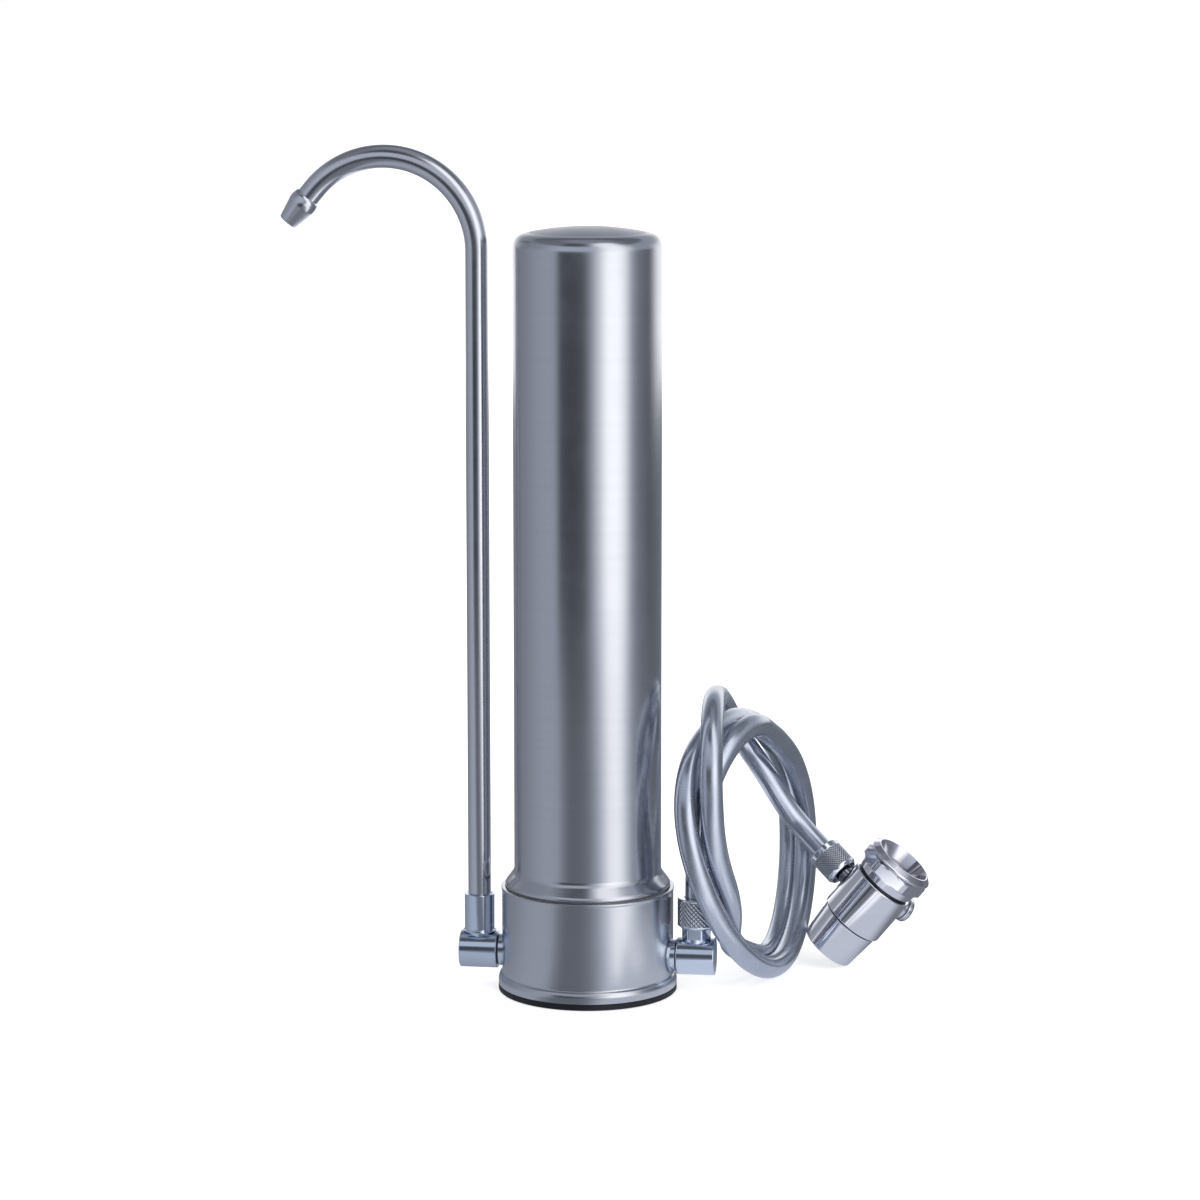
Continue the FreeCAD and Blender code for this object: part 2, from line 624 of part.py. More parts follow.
def hose_coil():
    arcs = coil_arcs(coil_lift())
    start, out, end, back = coil_ends()
    first, last = start + out * 2 * HOSE_R, end - back * 2 * HOSE_R
    edges = [Part.LineSegment(start, first).toShape()]
    for at, _, backwards in arcs:
        a, b, c = (at(1), at(0.5), at(0)) if backwards else (at(0), at(0.5), at(1))
        edges.append(Part.Arc(a, b, c).toShape())
    edges.append(Part.LineSegment(last, end).toShape())
    points = [start] + arc_points(arcs, 30) + [end]
    least_radius = min(radius for _, radius, _ in arcs)
    print("coil: least radius %.1f, least gap to itself %.2f" % (least_radius, least_gap(points)))
    return tube_along(edges, start, out)


def least_gap(points):
    """The least clear space between stretches of tube that are more than half a loop apart along it."""
    travel = [0.0]
    for a, b in zip(points, points[1:]):
        travel.append(travel[-1] + (b - a).Length)
    apart = 100.0
    return min((points[i] - points[j]).Length for i in range(0, len(points), 2) for j in range(len(points))
               if travel[j] - travel[i] > apart) - 2 * HOSE_R


def tube_along(edges, start, heading):
    path = Part.Wire(edges)
    tube = path.makePipeShell([Part.Wire(Part.makeCircle(HOSE_R, start, heading))], True, False)
    expected = math.pi * HOSE_R ** 2 * path.Length
    print("tube: length %.0f, volume %.4f of section times length" % (path.Length, tube.Volume / expected))
    return tube


def route_tube(points):
    """A tube along straight runs, with each corner rounded as far as its runs allow."""
    edges = []
    radii = []
    here = points[0]
    for a, b, c in zip(points, points[1:], points[2:]):
        run_in, run_out = b - a, c - b
        cut = ARC_SHARE * min(run_in.Length, run_out.Length)
        turn = run_in.getAngle(run_out)
        radius = cut / math.tan(turn / 2)
        radii.append(radius)
        enter = b - run_in.normalize() * cut
        leave = b + run_out.normalize() * cut
        inward = (run_out - run_in).normalize()
        middle = b + inward * (radius / math.cos(turn / 2) - radius)
        edges.append(Part.LineSegment(here, enter).toShape())
        edges.append(Part.Arc(enter, middle, leave).toShape())
        here = leave
    edges.append(Part.LineSegment(here, points[-1]).toShape())
    print("radii", " ".join("%.0f" % r for r in radii))
    return tube_along(edges, points[0], points[1] - points[0])


def nut_mouth():
    return vec(FITTING_X, 0, HEX_TOP + NUT_LENGTH)


def hose_riser():
    start, out, _, _ = coil_ends()
    mouth = nut_mouth()
    points = [mouth, mouth + vec(0, 0, RISER_STRAIGHT)] + RISER_POINTS
    return route_tube(points + [start - out * RISER_LAST, start])


def hose_end_run():
    _, _, end, back = coil_ends()
    mouth, heading = port_mouth()
    points = [end, end + back * END_FIRST] + END_POINTS
    return route_tube(points + [mouth + heading * END_STRAIGHT, mouth])


def valve_turn():
    """The valve's attitude: X along its hose port, Z along its axis."""
    lean = FreeCAD.Rotation(vec(0, 1, 0), VALVE_LEAN)
    heading = FreeCAD.Rotation(vec(0, 0, 1), VALVE_HEADING)
    return heading.multiply(lean).multiply(FreeCAD.Rotation(vec(0, 0, 1), PORT_TURN))


def valve_place():
    """The valve rests on the rounded edge of its lower rim."""
    lean = math.radians(VALVE_LEAN)
    height = (SLEEVE_RIM_R - SLEEVE_EDGE) * math.sin(lean) - SLEEVE_EDGE * math.cos(lean) + SLEEVE_EDGE
    return FreeCAD.Placement(vec(VALVE_X, VALVE_Y, height), valve_turn())


def in_place(shape):
    return shape.transformed(valve_place().toMatrix())


def port_mouth():
    """Where the hose enters the valve's knurled nut, and the way out of it."""
    out = PORT_NUT_START + PORT_NUT_LENGTH
    place = valve_place()
    return place.multVec(vec(out, 0, PORT_ALONG)), place.Rotation.multVec(vec(1, 0, 0))


def on_port(shape):
    """A piece made about Z, laid on the valve's hose port."""
    return pointing(shape, vec(0, 0, PORT_ALONG), vec(1, 0, 0))


def on_knob(shape):
    """A piece made about Z, laid on the knob's axis."""
    a = math.radians(KNOB_TURN)
    return pointing(shape, vec(0, 0, KNOB_ALONG), vec(math.cos(a), math.sin(a), 0))


def valve_sleeve():
    bore = SLEEVE_RIM_R - SLEEVE_WALL
    edge = SLEEVE_EDGE
    mid = edge * (1 - math.sqrt(0.5))
    seat = SLEEVE_LENGTH - BODY_SPIGOT - SEAT_GAP
    return turned((SLEEVE_RIM_R - edge, 0), ((SLEEVE_RIM_R - mid, mid), (SLEEVE_RIM_R, edge)),
                  (SLEEVE_R, SLEEVE_LENGTH - SEAT_GAP), (bore, SLEEVE_LENGTH - SEAT_GAP), (bore, seat),
                  (bore, AERATOR_INSET + AERATOR_T), (bore, AERATOR_INSET),
                  (bore - EDGE, AERATOR_INSET), (bore - EDGE, 0))


def jets(radius, low, high):
    """Round holes on a square grid, as far out as the radius allows."""
    count = int(radius // JET_PITCH)
    steps = [i * JET_PITCH for i in range(-count, count + 1)]
    places = [(x, y) for x in steps for y in steps if math.hypot(x, y) < radius - 2 * JET_R]
    return [moved(rod(JET_R, low, high), x, y, 0) for x, y in places]


def aerator_insert():
    outer = SLEEVE_RIM_R - SLEEVE_WALL - SEAT_GAP
    low, high = AERATOR_INSET, AERATOR_INSET + AERATOR_T
    block = ring(0, outer, low, high - SCREEN_T)
    return block.cut(Part.makeCompound(jets(outer, low - 1, high + 1)))


def aerator_screen():
    outer = SLEEVE_RIM_R - SLEEVE_WALL - SEAT_GAP
    high = AERATOR_INSET + AERATOR_T
    disc = ring(0, outer, high - SCREEN_T, high)
    return disc.cut(Part.makeCompound(jets(outer, high - 2, high + 1)))


def throat_top():
    return SLEEVE_LENGTH + BODY_LENGTH + FLANGE_T + CLIP_T + 2 * FREE_GAP


def valve_body():
    top = SLEEVE_LENGTH + BODY_LENGTH
    spigot = SLEEVE_RIM_R - SLEEVE_WALL - SEAT_GAP
    foot = SLEEVE_LENGTH - BODY_SPIGOT
    groove = top + FLANGE_T + FREE_GAP
    groove_top = groove + CLIP_T + SEAT_GAP
    body = turned((BODY_BORE_R, foot), (spigot, foot), (spigot, SLEEVE_LENGTH),
                  (BODY_R - EDGE, SLEEVE_LENGTH), (BODY_R, SLEEVE_LENGTH + EDGE), (BODY_R, top - EDGE),
                  (BODY_R - EDGE, top), (THROAT_R, top),
                  (THROAT_R, groove), (THROAT_R - CLIP_T, groove), (THROAT_R - CLIP_T, groove_top),
                  (THROAT_R, groove_top), (THROAT_R, throat_top()), (BODY_BORE_R, throat_top()))
    port = on_port(rod(STUB_R + SEAT_GAP, 0, BODY_R + 1))
    chamber = on_knob(rod(SPOOL_R + RUN_GAP, -BODY_BORE_R, BODY_R + 1))
    gland_seat = on_knob(rod(GLAND_R - GLAND_PROUD + SEAT_GAP, gland_foot() - SEAT_GAP, BODY_R + 1))
    return body.cut(port).cut(chamber).cut(gland_seat)


def gland_foot():
    return BODY_R - GLAND_DEPTH


def knob_gland():
    """The screwed gland that guides the knob's rod. Its collar lies on the body's round wall."""
    top = BODY_R + GLAND_PROUD
    gland = turned((STEM_ROD_R + RUN_GAP, gland_foot()), (GLAND_R - GLAND_PROUD, gland_foot()),
                   (GLAND_R - GLAND_PROUD, BODY_R - GLAND_PROUD), (GLAND_R, BODY_R - GLAND_PROUD),
                   (GLAND_R, top - EDGE), (GLAND_R - EDGE, top), (STEM_ROD_R + RUN_GAP, top))
    wall = rod(BODY_R + SEAT_GAP, SLEEVE_LENGTH, KNOB_ALONG + 2 * GLAND_R)
    thread = on_knob(rod(GLAND_R - GLAND_PROUD, gland_foot(), BODY_R + 1))
    placed = on_knob(gland)
    collar = placed.cut(wall)
    return collar.fuse(placed.common(thread)).removeSplitter()


def diverter_spool():
    """The plunger and its rod, which reaches into the knob."""
    inner = gland_foot() - FREE_GAP - KNOB_PULL - SPOOL_LENGTH
    head = inner + SPOOL_LENGTH
    tip = BODY_R + GLAND_PROUD + FREE_GAP + KNOB_T / 2
    return on_knob(turned((0, inner), (SPOOL_R, inner), (SPOOL_R, inner + SPOOL_LENGTH / 4),
                          (SPOOL_R - 2 * SEAT_GAP - ORING_R, inner + SPOOL_LENGTH / 4),
                          (SPOOL_R - 2 * SEAT_GAP - ORING_R, head - SPOOL_LENGTH / 4),
                          (SPOOL_R, head - SPOOL_LENGTH / 4), (SPOOL_R, head), (STEM_ROD_R, head),
                          (STEM_ROD_R, tip), (0, tip)))


def spool_seal():
    inner = gland_foot() - FREE_GAP - KNOB_PULL - SPOOL_LENGTH
    core = SPOOL_R - 2 * SEAT_GAP - ORING_R + SEAT_GAP
    return on_knob(ring(core, SPOOL_R, inner + SPOOL_LENGTH / 4 + SEAT_GAP,
                        inner + 3 * SPOOL_LENGTH / 4 - SEAT_GAP))


def diverter_knob():
    low = BODY_R + GLAND_PROUD + FREE_GAP
    socket = STEM_ROD_R + SEAT_GAP
    high = low + KNOB_T
    socket_end = low + KNOB_T / 2 + SEAT_GAP
    return on_knob(turned((socket, low), (KNOB_R - EDGE, low), (KNOB_R, low + EDGE), (KNOB_R, high - EDGE),
                          (KNOB_R - EDGE, high), (0, high), (0, socket_end), (socket, socket_end)))


def swivel_clip():
    low = SLEEVE_LENGTH + BODY_LENGTH + FLANGE_T + FREE_GAP
    whole = ring(THROAT_R - CLIP_T + SEAT_GAP, THROAT_R + CLIP_WIDE, low + SEAT_GAP / 2, low + CLIP_T)
    opening = Part.makeBox(2 * THROAT_R, 2 * CLIP_T, 4 * CLIP_T, vec(0, -CLIP_T, low - CLIP_T))
    return whole.cut(opening)


def swivel_nut():
    """Flange, hexagon and bore for the collar's sleeve. It turns on the valve's throat under the clip."""
    low = SLEEVE_LENGTH + BODY_LENGTH
    web = low + FLANGE_T
    hex_low = web + HEX_NUT_CONE
    hex_high = hex_low + HEX_NUT_H
    flat = HEX_NUT_AF / 2
    outside = turned((0, low + SEAT_GAP), (FLANGE_R - EDGE, low + SEAT_GAP), (FLANGE_R, low + EDGE),
                     (FLANGE_R, web), (flat, hex_low), (0, hex_low))
    body = hexagon(HEX_NUT_AF, hex_low, hex_high)
    body = body.common(turned((0, hex_low), (flat, hex_low), (HEX_NUT_EDGE, hex_low + HEX_NUT_BEVEL),
                              (HEX_NUT_EDGE, hex_high - HEX_NUT_BEVEL), (flat, hex_high), (0, hex_high)))
    bore = FAUCET_R + ADAPTER_WALL + SEAT_GAP
    nut = outside.fuse(body)
    nut = nut.cut(rod(THROAT_R + RUN_GAP, low - 1, web + 1)).cut(rod(bore, web, hex_high + 1))
    return nut.removeSplitter()


def adapter_base():
    """Height of the collar's underside above the hexagon."""
    return SLEEVE_LENGTH + BODY_LENGTH + FLANGE_T + HEX_NUT_CONE + HEX_NUT_H + COLLAR_GROOVE


def adapter_top():
    return adapter_base() + COLLAR_H


def thread_low():
    return adapter_top() - DISH_DEPTH - FAUCET_THREAD


def faucet_adapter():
    """The sloping collar with the faucet's thread, a dished mouth and a pocket for the washer and screen."""
    sleeve = FAUCET_R + ADAPTER_WALL
    pocket = FAUCET_R + FREE_GAP
    pocket_low = thread_low() - FAUCET_WASHER_T - SCREEN_T - SEAT_GAP
    low = pocket_low - EDGE
    top = adapter_top()
    base = adapter_base()
    dish_low = thread_low() + FAUCET_THREAD
    brim = base + COLLAR_BRIM
    return turned((FAUCET_WASHER_BORE, low), (sleeve, low), (sleeve, base), (COLLAR_R - EDGE, base),
                  ((COLLAR_R, (base + brim) / 2), (COLLAR_R - EDGE, brim)), (DISH_R + EDGE, top), (DISH_R, top),
                  (FAUCET_R, dish_low),
                  (FAUCET_R, thread_low()), (pocket, thread_low()), (pocket, pocket_low),
                  (FAUCET_WASHER_BORE, pocket_low))


def faucet_washer():
    low = thread_low() - FAUCET_WASHER_T - SCREEN_T - SEAT_GAP
    return ring(FAUCET_WASHER_BORE, FAUCET_R + FREE_GAP - SEAT_GAP, low, low + FAUCET_WASHER_T)


def inlet_screen():
    outer = FAUCET_R + FREE_GAP - SEAT_GAP
    high = thread_low() - SEAT_GAP
    disc = ring(0, outer, high - SCREEN_T, high)
    return disc.cut(Part.makeCompound(jets(outer, high - 2, high + 1)))


def valve_stub():
    """The pipe from the valve's body into the knurled nut."""
    nut_end = PORT_NUT_START + PORT_NUT_LENGTH
    start = PORT_NUT_START + NUT_TAPER_H
    inside = BODY_BORE_R + 2 * FREE_GAP
    pipe = ring(STUB_BORE_R, STUB_R, inside, start)
    thread = union_thread(STUB_BORE_R, nut_end - FERRULE_LENGTH, start, THREAD_LENGTH - NUT_TAPER_H)
    return on_port(pipe.fuse(thread).removeSplitter())


def valve_nut():
    return on_port(moved(union_nut(PORT_NUT_R, PORT_NUT_LENGTH), 0, 0, PORT_NUT_START))


def ferrule_on_port():
    return on_port(moved(hose_ferrule(FERRULE_LENGTH - SEAT_GAP), 0, 0, PORT_NUT_START + PORT_NUT_LENGTH))


def port_olive():
    return on_port(moved(olive(PORT_NUT_LENGTH), 0, 0, PORT_NUT_START))


def inlet_olive():
    return moved(olive(NUT_LENGTH), FITTING_X, 0, HEX_TOP)


def inlet_ferrule():
    return moved(hose_ferrule(FERRULE_LENGTH - SEAT_GAP), FITTING_X, 0, HEX_TOP + NUT_LENGTH)


PIECES = {
    "foot_pad": foot_pad,
    "base_cup": base_cup,
    "base_manifold": base_manifold,
    "base_screws": base_screws,
    "housing_gasket": lambda: seal_ring(GASKET_SEAT, GASKET_SEAT + GASKET_T),
    "slip_ring": lambda: seal_ring(GASKET_SEAT + GASKET_T, RING_SEAT),
    "housing_shell": housing_shell,
    "housing_thread_ring": housing_thread_ring,
    "candle_washer": candle_washer,
    "candle_mount": candle_mount,
    "ceramic_candle": ceramic_candle,
    "carbon_core": carbon_core,
    "outlet_elbow": lambda: elbow(-1),
    "outlet_seal": lambda: saddle_seal(-1),
    "spout_socket": spout_socket,
    "spout_orings": spout_orings,
    "spout_tube": spout_tube,
    "spout_nozzle": spout_nozzle,
    "inlet_elbow": lambda: elbow(1),
    "inlet_seal": lambda: saddle_seal(1),
    "inlet_stub": inlet_stub,
    "inlet_olive": inlet_olive,
    "inlet_ferrule": inlet_ferrule,
    "inlet_nut": inlet_nut,
    "hose_riser": hose_riser,
    "hose_coil": hose_coil,
    "hose_end_run": hose_end_run,
    "valve_ferrule": lambda: in_place(ferrule_on_port()),
    "valve_olive": lambda: in_place(port_olive()),
    "valve_nut": lambda: in_place(valve_nut()),
    "valve_stub": lambda: in_place(valve_stub()),
    "valve_body": lambda: in_place(valve_body()),
    "valve_sleeve": lambda: in_place(valve_sleeve()),
    "aerator_insert": lambda: in_place(aerator_insert()),
    "aerator_screen": lambda: in_place(aerator_screen()),
    "knob_gland": lambda: in_place(knob_gland()),
    "diverter_spool": lambda: in_place(diverter_spool()),
    "spool_seal": lambda: in_place(spool_seal()),
    "diverter_knob": lambda: in_place(diverter_knob()),
    "swivel_clip": lambda: in_place(swivel_clip()),
    "swivel_nut": lambda: in_place(swivel_nut()),
    "faucet_adapter": lambda: in_place(faucet_adapter()),
    "faucet_washer": lambda: in_place(faucet_washer()),
    "inlet_screen": lambda: in_place(inlet_screen()),
}


def main():
    os.makedirs("parts", exist_ok=True)
    for name, make in PIECES.items():
        shape = make()
        if not shape.isValid():
            print("not valid:", name)
        shape.exportStep("parts/%s.step" % name)
    mouth, heading = port_mouth()
    print("valve port at", mouth, "heading", heading)
    print(len(PIECES), "pieces")


main()
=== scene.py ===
# %% [markdown]
# # A countertop water filter
# A steel housing stands on a base cup. A gooseneck spout swivels at its left, and at its right a hose leaves
# in a loose loop and ends in the diverter valve that screws onto a kitchen faucet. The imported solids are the
# frame. This lesson dresses them: it makes each visible piece again as a finer surface, lays the hose, and
# gives every piece a finish made of nodes.

# %% Load the frame
import math

import bmesh
import bpy
import numpy as np
from mathutils import Matrix, Vector


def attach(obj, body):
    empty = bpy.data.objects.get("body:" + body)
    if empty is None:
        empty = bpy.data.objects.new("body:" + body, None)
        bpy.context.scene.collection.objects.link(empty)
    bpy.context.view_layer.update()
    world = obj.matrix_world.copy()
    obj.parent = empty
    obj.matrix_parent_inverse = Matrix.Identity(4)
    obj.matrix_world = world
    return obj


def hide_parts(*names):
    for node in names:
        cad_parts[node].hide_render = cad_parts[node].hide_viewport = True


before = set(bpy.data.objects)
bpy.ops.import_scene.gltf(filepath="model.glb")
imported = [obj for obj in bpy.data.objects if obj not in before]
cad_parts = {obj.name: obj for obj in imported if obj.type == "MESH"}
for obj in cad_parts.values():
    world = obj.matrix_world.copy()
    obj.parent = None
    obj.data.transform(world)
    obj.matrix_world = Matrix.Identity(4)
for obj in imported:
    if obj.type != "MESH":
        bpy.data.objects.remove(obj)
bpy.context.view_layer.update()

MM = 0.001


def put(name, data):
    """A new object with this data, linked into the scene."""
    thing = bpy.data.objects.new(name, data)
    bpy.context.scene.collection.objects.link(thing)
    return thing


# %% [markdown]
# ## Camera
# A long lens from a little above, turned so that the spout's arm and the hose lie almost flat in the picture.
# A shifted lens could frame it too, but the place and the tilt were worked out from the fittings' known
# distances, so nothing is shifted or cropped, and the same camera works from any other side.

# %% Camera
CAMERA_TILT, CAMERA_TURN = 9.445, 7.863
camera_data = bpy.data.cameras.new("camera")
camera_data.sensor_width = 36
camera_data.lens = 115
camera = put("camera", camera_data)
camera.location = (0.2283, -1.6140, 0.4433)
camera.rotation_euler = (math.radians(90 - CAMERA_TILT), 0, math.radians(CAMERA_TURN))
bpy.context.scene.camera = camera
bpy.context.scene.view_settings.view_transform = "Standard"
print("camera:", camera_data.lens, "mm, looking down by", CAMERA_TILT, "degrees")

# %% [markdown]
# ## The hose's line
# The hose is one length of tube, so it is one smooth curve. Its control points are the same route that the
# solids follow: up out of the knurled nut, round the loop, and back over the top down into the valve. The
# loop could be drawn by hand, point by point, but a formula keeps its turns even: a centre that drifts, and
# two half axes that shrink a little as it turns.

# %% The hose's route, in millimetres
HOSE_R = 5.0
NUT_MOUTH = (47.8, 0.0, 42.3)
RISER = [NUT_MOUTH, (47.8, 0.0, 58.8), (49.5, -7.5, 77.0), (54.5, -5.5, 97.0), (62.5, 5.0, 111.5)]
END_RUN = [(63.8, -2.4, 39.0), (57.0, -13.0, 65.5), (55.9, -19.1, 92.5), (55.4, -14.1, 112.6),
           (54.5, 0.0, 125.2), (53.4, 19.8, 127.7), (52.8, 41.5, 123.5), (54.4, 59.9, 113.8),
           (60.3, 69.0, 98.7), (70.5, 68.5, 84.5), (80.0, 71.0, 68.0)]
COIL_START, COIL_END, COIL_POINTS = 0.05, 1.48, 36
COIL_CENTRE = np.array((72.0, 16.5, 59.55))
COIL_DRIFT = np.array((-6.5, 20.5, 1.0))
COIL_WIDE = np.array((21.0, 59.0, -17.5))
COIL_HIGH = np.array((-3.0, 12.0, 51.5))
COIL_SHRINK = np.array((-1.5, -10.5, -3.0))
COIL_OVAL = np.array((-2.5, 3.0, -0.5))
COIL_SKEW = np.array((1.0, 4.5, 0.5))
COIL_LEAD, RISER_LAST, END_FIRST, END_STRAIGHT = 10.0, 19.0, 15.5, 13.3


def coil_points(turns):
    """Centre + drift t + (wide + shrink t) cos a + high sin a + oval cos 2a + skew sin 2a, where t is the
    number of turns and a = 90 degrees - 360 t."""
    t = np.asarray(turns)[:, None]
    a = math.pi / 2 - 2 * math.pi * t
    return (COIL_CENTRE + COIL_DRIFT * t + (COIL_WIDE + COIL_SHRINK * t) * np.cos(a) + COIL_HIGH * np.sin(a)
            + COIL_OVAL * np.cos(2 * a) + COIL_SKEW * np.sin(2 * a))


def unit(v):
    """The vector v at length 1."""
    v = np.asarray(v, float)
    return v / np.linalg.norm(v)


loop = coil_points(np.linspace(COIL_START, COIL_END, COIL_POINTS))
print("loop:", COIL_END - COIL_START, "turns, lowest centre", round(float(loop[:, 2].min()), 2), "mm")

# %% [markdown]
# The hose's far end points along the valve's port, so the valve's attitude comes first. It lies on its rim:
# it leans, and it is turned about its own axis.

# %% The valve's attitude
VALVE_FOOT = (100.8, 55.5, 7.554)
VALVE_HEADING, VALVE_LEAN, PORT_TURN = -7.1, 39.1, 161.2
VALVE_TURN = np.array(Matrix.Rotation(math.radians(VALVE_HEADING), 3, "Z")
                      @ Matrix.Rotation(math.radians(VALVE_LEAN), 3, "Y")
                      @ Matrix.Rotation(math.radians(PORT_TURN), 3, "Z"))
PORT_ALONG, PORT_NUT_START, PORT_NUT_LENGTH = 29.5, 17.2, 14.0
port_way = VALVE_TURN[:, 0]
port_mouth = np.array(VALVE_FOOT) + VALVE_TURN @ (PORT_NUT_START + PORT_NUT_LENGTH, 0, PORT_ALONG)
print("the hose ends at", port_mouth.round(1), "mm")

# %% Put the route together
ends = coil_points([COIL_START, COIL_START + 1e-3, COIL_END - 1e-3, COIL_END])
way_in, way_out = unit(ends[1] - ends[0]), unit(ends[3] - ends[2])
coil_in, coil_out = loop[0] - COIL_LEAD * way_in, loop[-1] + COIL_LEAD * way_out
route = np.vstack([RISER, coil_in - RISER_LAST * way_in, coil_in, loop,
                   coil_out, coil_out + END_FIRST * way_out, END_RUN,
                   port_mouth + END_STRAIGHT * port_way, port_mouth]) * MM
print("route:", len(route), "control points, lowest", round(float(route[:, 2].min()) / MM, 2), "mm")

# %% [markdown]
# A curve's bevel is its points' radius times its bevel depth. The usual way is a radius of 1 and a small
# depth, but Blender takes a curve's box from the radii alone, and a box a metre wide would push the camera of
# every other view far away. So the radius is the hose's own, and the depth is 1.

# %% The hose's curve
hose_curve = bpy.data.curves.new("hose", "CURVE")
hose_curve.dimensions = "3D"
spline = hose_curve.splines.new("NURBS")
spline.points.add(len(route) - 1)
spline.points.foreach_set("co", np.hstack([route, np.ones((len(route), 1))]).ravel())
spline.points.foreach_set("radius", np.full(len(route), HOSE_R * MM))
spline.order_u = 3
spline.use_endpoint_u = True
spline.resolution_u = 10
hose_curve.bevel_depth = 1.0
hose_curve.bevel_resolution = 10
hose_curve.use_fill_caps = True
hose = put("hose", hose_curve)
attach(hose, "root")
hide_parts("hose_riser", "hose_coil", "hose_end_run")
print("hose:", 2 * HOSE_R, "mm thick, one", spline.type, "spline")

# %% [markdown]
# ## Surfaces worked out on a grid
# Almost everything here was turned on a lathe, so almost everything is one function: a profile in radius and
# height, carried round an axis. Cylinders with a Bevel modifier would do for a few of them, but not for the
# knurls and the thread, and one way for all is easier to follow. A real turned edge is never perfectly sharp,
# and the small round on it catches the light, so the profile's corners are rounded first.

# %% Rounded profiles
FILLET, GUARD, FILLET_STEPS, ON_AXIS = 0.25, 0.12, 4, 1e-6
CUT_LIMIT, GUARD_LIMIT = 0.4, 0.45


def rounded(corners):
    """Each corner (radius, height, own fillet) becomes a short parabola, (1 - t)^2 a + 2 t (1 - t) corner +
    t^2 b, from a point a before it to a point b after it, at most a share of each side away. A guard point
    outside each end keeps the flats' shading flat."""
    corners = [tuple(c) if len(c) == 3 else (c[0], c[1], FILLET) for c in corners]
    out = []
    t = np.linspace(0, 1, FILLET_STEPS + 1)[:, None]
    for i, (r, z, f) in enumerate(corners):
        here = np.array((r, z))
        before, after = np.array(corners[i - 1][:2]), np.array(corners[(i + 1) % len(corners)][:2])
        reach_in, reach_out = np.linalg.norm(before - here), np.linalg.norm(after - here)
        cut = min(f, CUT_LIMIT * reach_in, CUT_LIMIT * reach_out)
        if f == 0 or r < ON_AXIS:
            out.append(here[None])
            continue
        to_before, to_after = (before - here) / reach_in, (after - here) / reach_out
        a, b = here + to_before * cut, here + to_after * cut
        guard_in = here + to_before * min(cut + GUARD, GUARD_LIMIT * reach_in)
        guard_out = here + to_after * min(cut + GUARD, GUARD_LIMIT * reach_out)
        out.append(np.vstack([guard_in, (1 - t) ** 2 * a + 2 * t * (1 - t) * here + t ** 2 * b, guard_out]))
    return np.vstack(out)


def arc(centre, radius, start, stop, count):
    """Centre + radius (cos a, sin a), with a from start to stop in degrees, as corners that stay as they
    are."""
    a = np.radians(np.linspace(start, stop, count))
    return [(centre[0] + radius * math.cos(x), centre[1] + radius * math.sin(x), 0) for x in a]


def band(radius, low, high, count):
    """Rows of points up a straight wall, close enough together for a knurl or a thread to show in them."""
    return [(radius, z, 0) for z in np.linspace(low, high, count)]


print("a square ring's profile has", len(rounded([(1, 0), (2, 0), (2, 1), (1, 1)])), "points once rounded")

# %% [markdown]
# A grid of points turns into a mesh by joining neighbours. The rows and the columns both close on themselves,
# so there is no seam. Rows that lie on the axis fall together and are merged, which closes the poles.

# %% Grids into meshes
MERGE = 2e-7
pieces = {}


def grid_piece(name, grid, replaces=(), body="root", slot=None, shade_and_dirt=0.0):
    """Joins the neighbours of a grid of points in metres: rows along a closed profile, columns round it.
    The last argument, from 0 to 1 at each point, is kept on the mesh as an attribute, so that a finish can
    darken there with painted shade, and with soiling as well in the knurls."""
    rows, columns = grid.shape[:2]
    index = np.arange(rows * columns).reshape(rows, columns)
    index = np.vstack([index, index[:1]])
    index = np.hstack([index, index[:, :1]])
    quads = np.stack([index[:-1, :-1], index[:-1, 1:], index[1:, 1:], index[1:, :-1]], -1).reshape(-1, 4)
    mesh = bpy.data.meshes.new(name)
    mesh.vertices.add(rows * columns)
    mesh.vertices.foreach_set("co", grid.reshape(-1).astype(np.float32))
    mesh.loops.add(quads.size)
    mesh.loops.foreach_set("vertex_index", quads.reshape(-1).astype(np.int32))
    mesh.polygons.add(len(quads))
    mesh.polygons.foreach_set("loop_start", np.arange(0, quads.size, 4, dtype=np.int32))
    mesh.polygons.foreach_set("loop_total", np.full(len(quads), 4, dtype=np.int32))
    mesh.update(calc_edges=True)
    shaded = mesh.attributes.new("shade_and_dirt", "FLOAT", "POINT")
    shaded.data.foreach_set("value", np.broadcast_to(shade_and_dirt, grid.shape[:2]).ravel().astype(np.float32))
    work = bmesh.new()
    work.from_mesh(mesh)
    bmesh.ops.remove_doubles(work, verts=work.verts, dist=MERGE)
    bmesh.ops.recalc_face_normals(work, faces=work.faces)
    work.to_mesh(mesh)
    work.free()
    mesh.shade_smooth()
    piece = put(name, mesh)
    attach(piece, body)
    if replaces:
        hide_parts(*replaces)
    pieces[name] = piece
    print(f"{name}: {len(mesh.polygons)} faces, rides on {body}")
    return piece


# %% Axes to turn things about
def axis_at(origin, along, across=None):
    """An origin in millimetres and three unit vectors as columns: across, its neighbour, and along the
    axis."""
    along = unit(along)
    across = np.array((1.0, 0, 0)) if across is None else np.asarray(across, float)
    if abs(across @ along) > 0.99:
        across = np.array((0, 1.0, 0))
    across = unit(across - along * (across @ along))
    return np.array(origin, float), np.stack([across, np.cross(along, across), along], 1)


UPRIGHT = axis_at((0, 0, 0), (0, 0, 1))


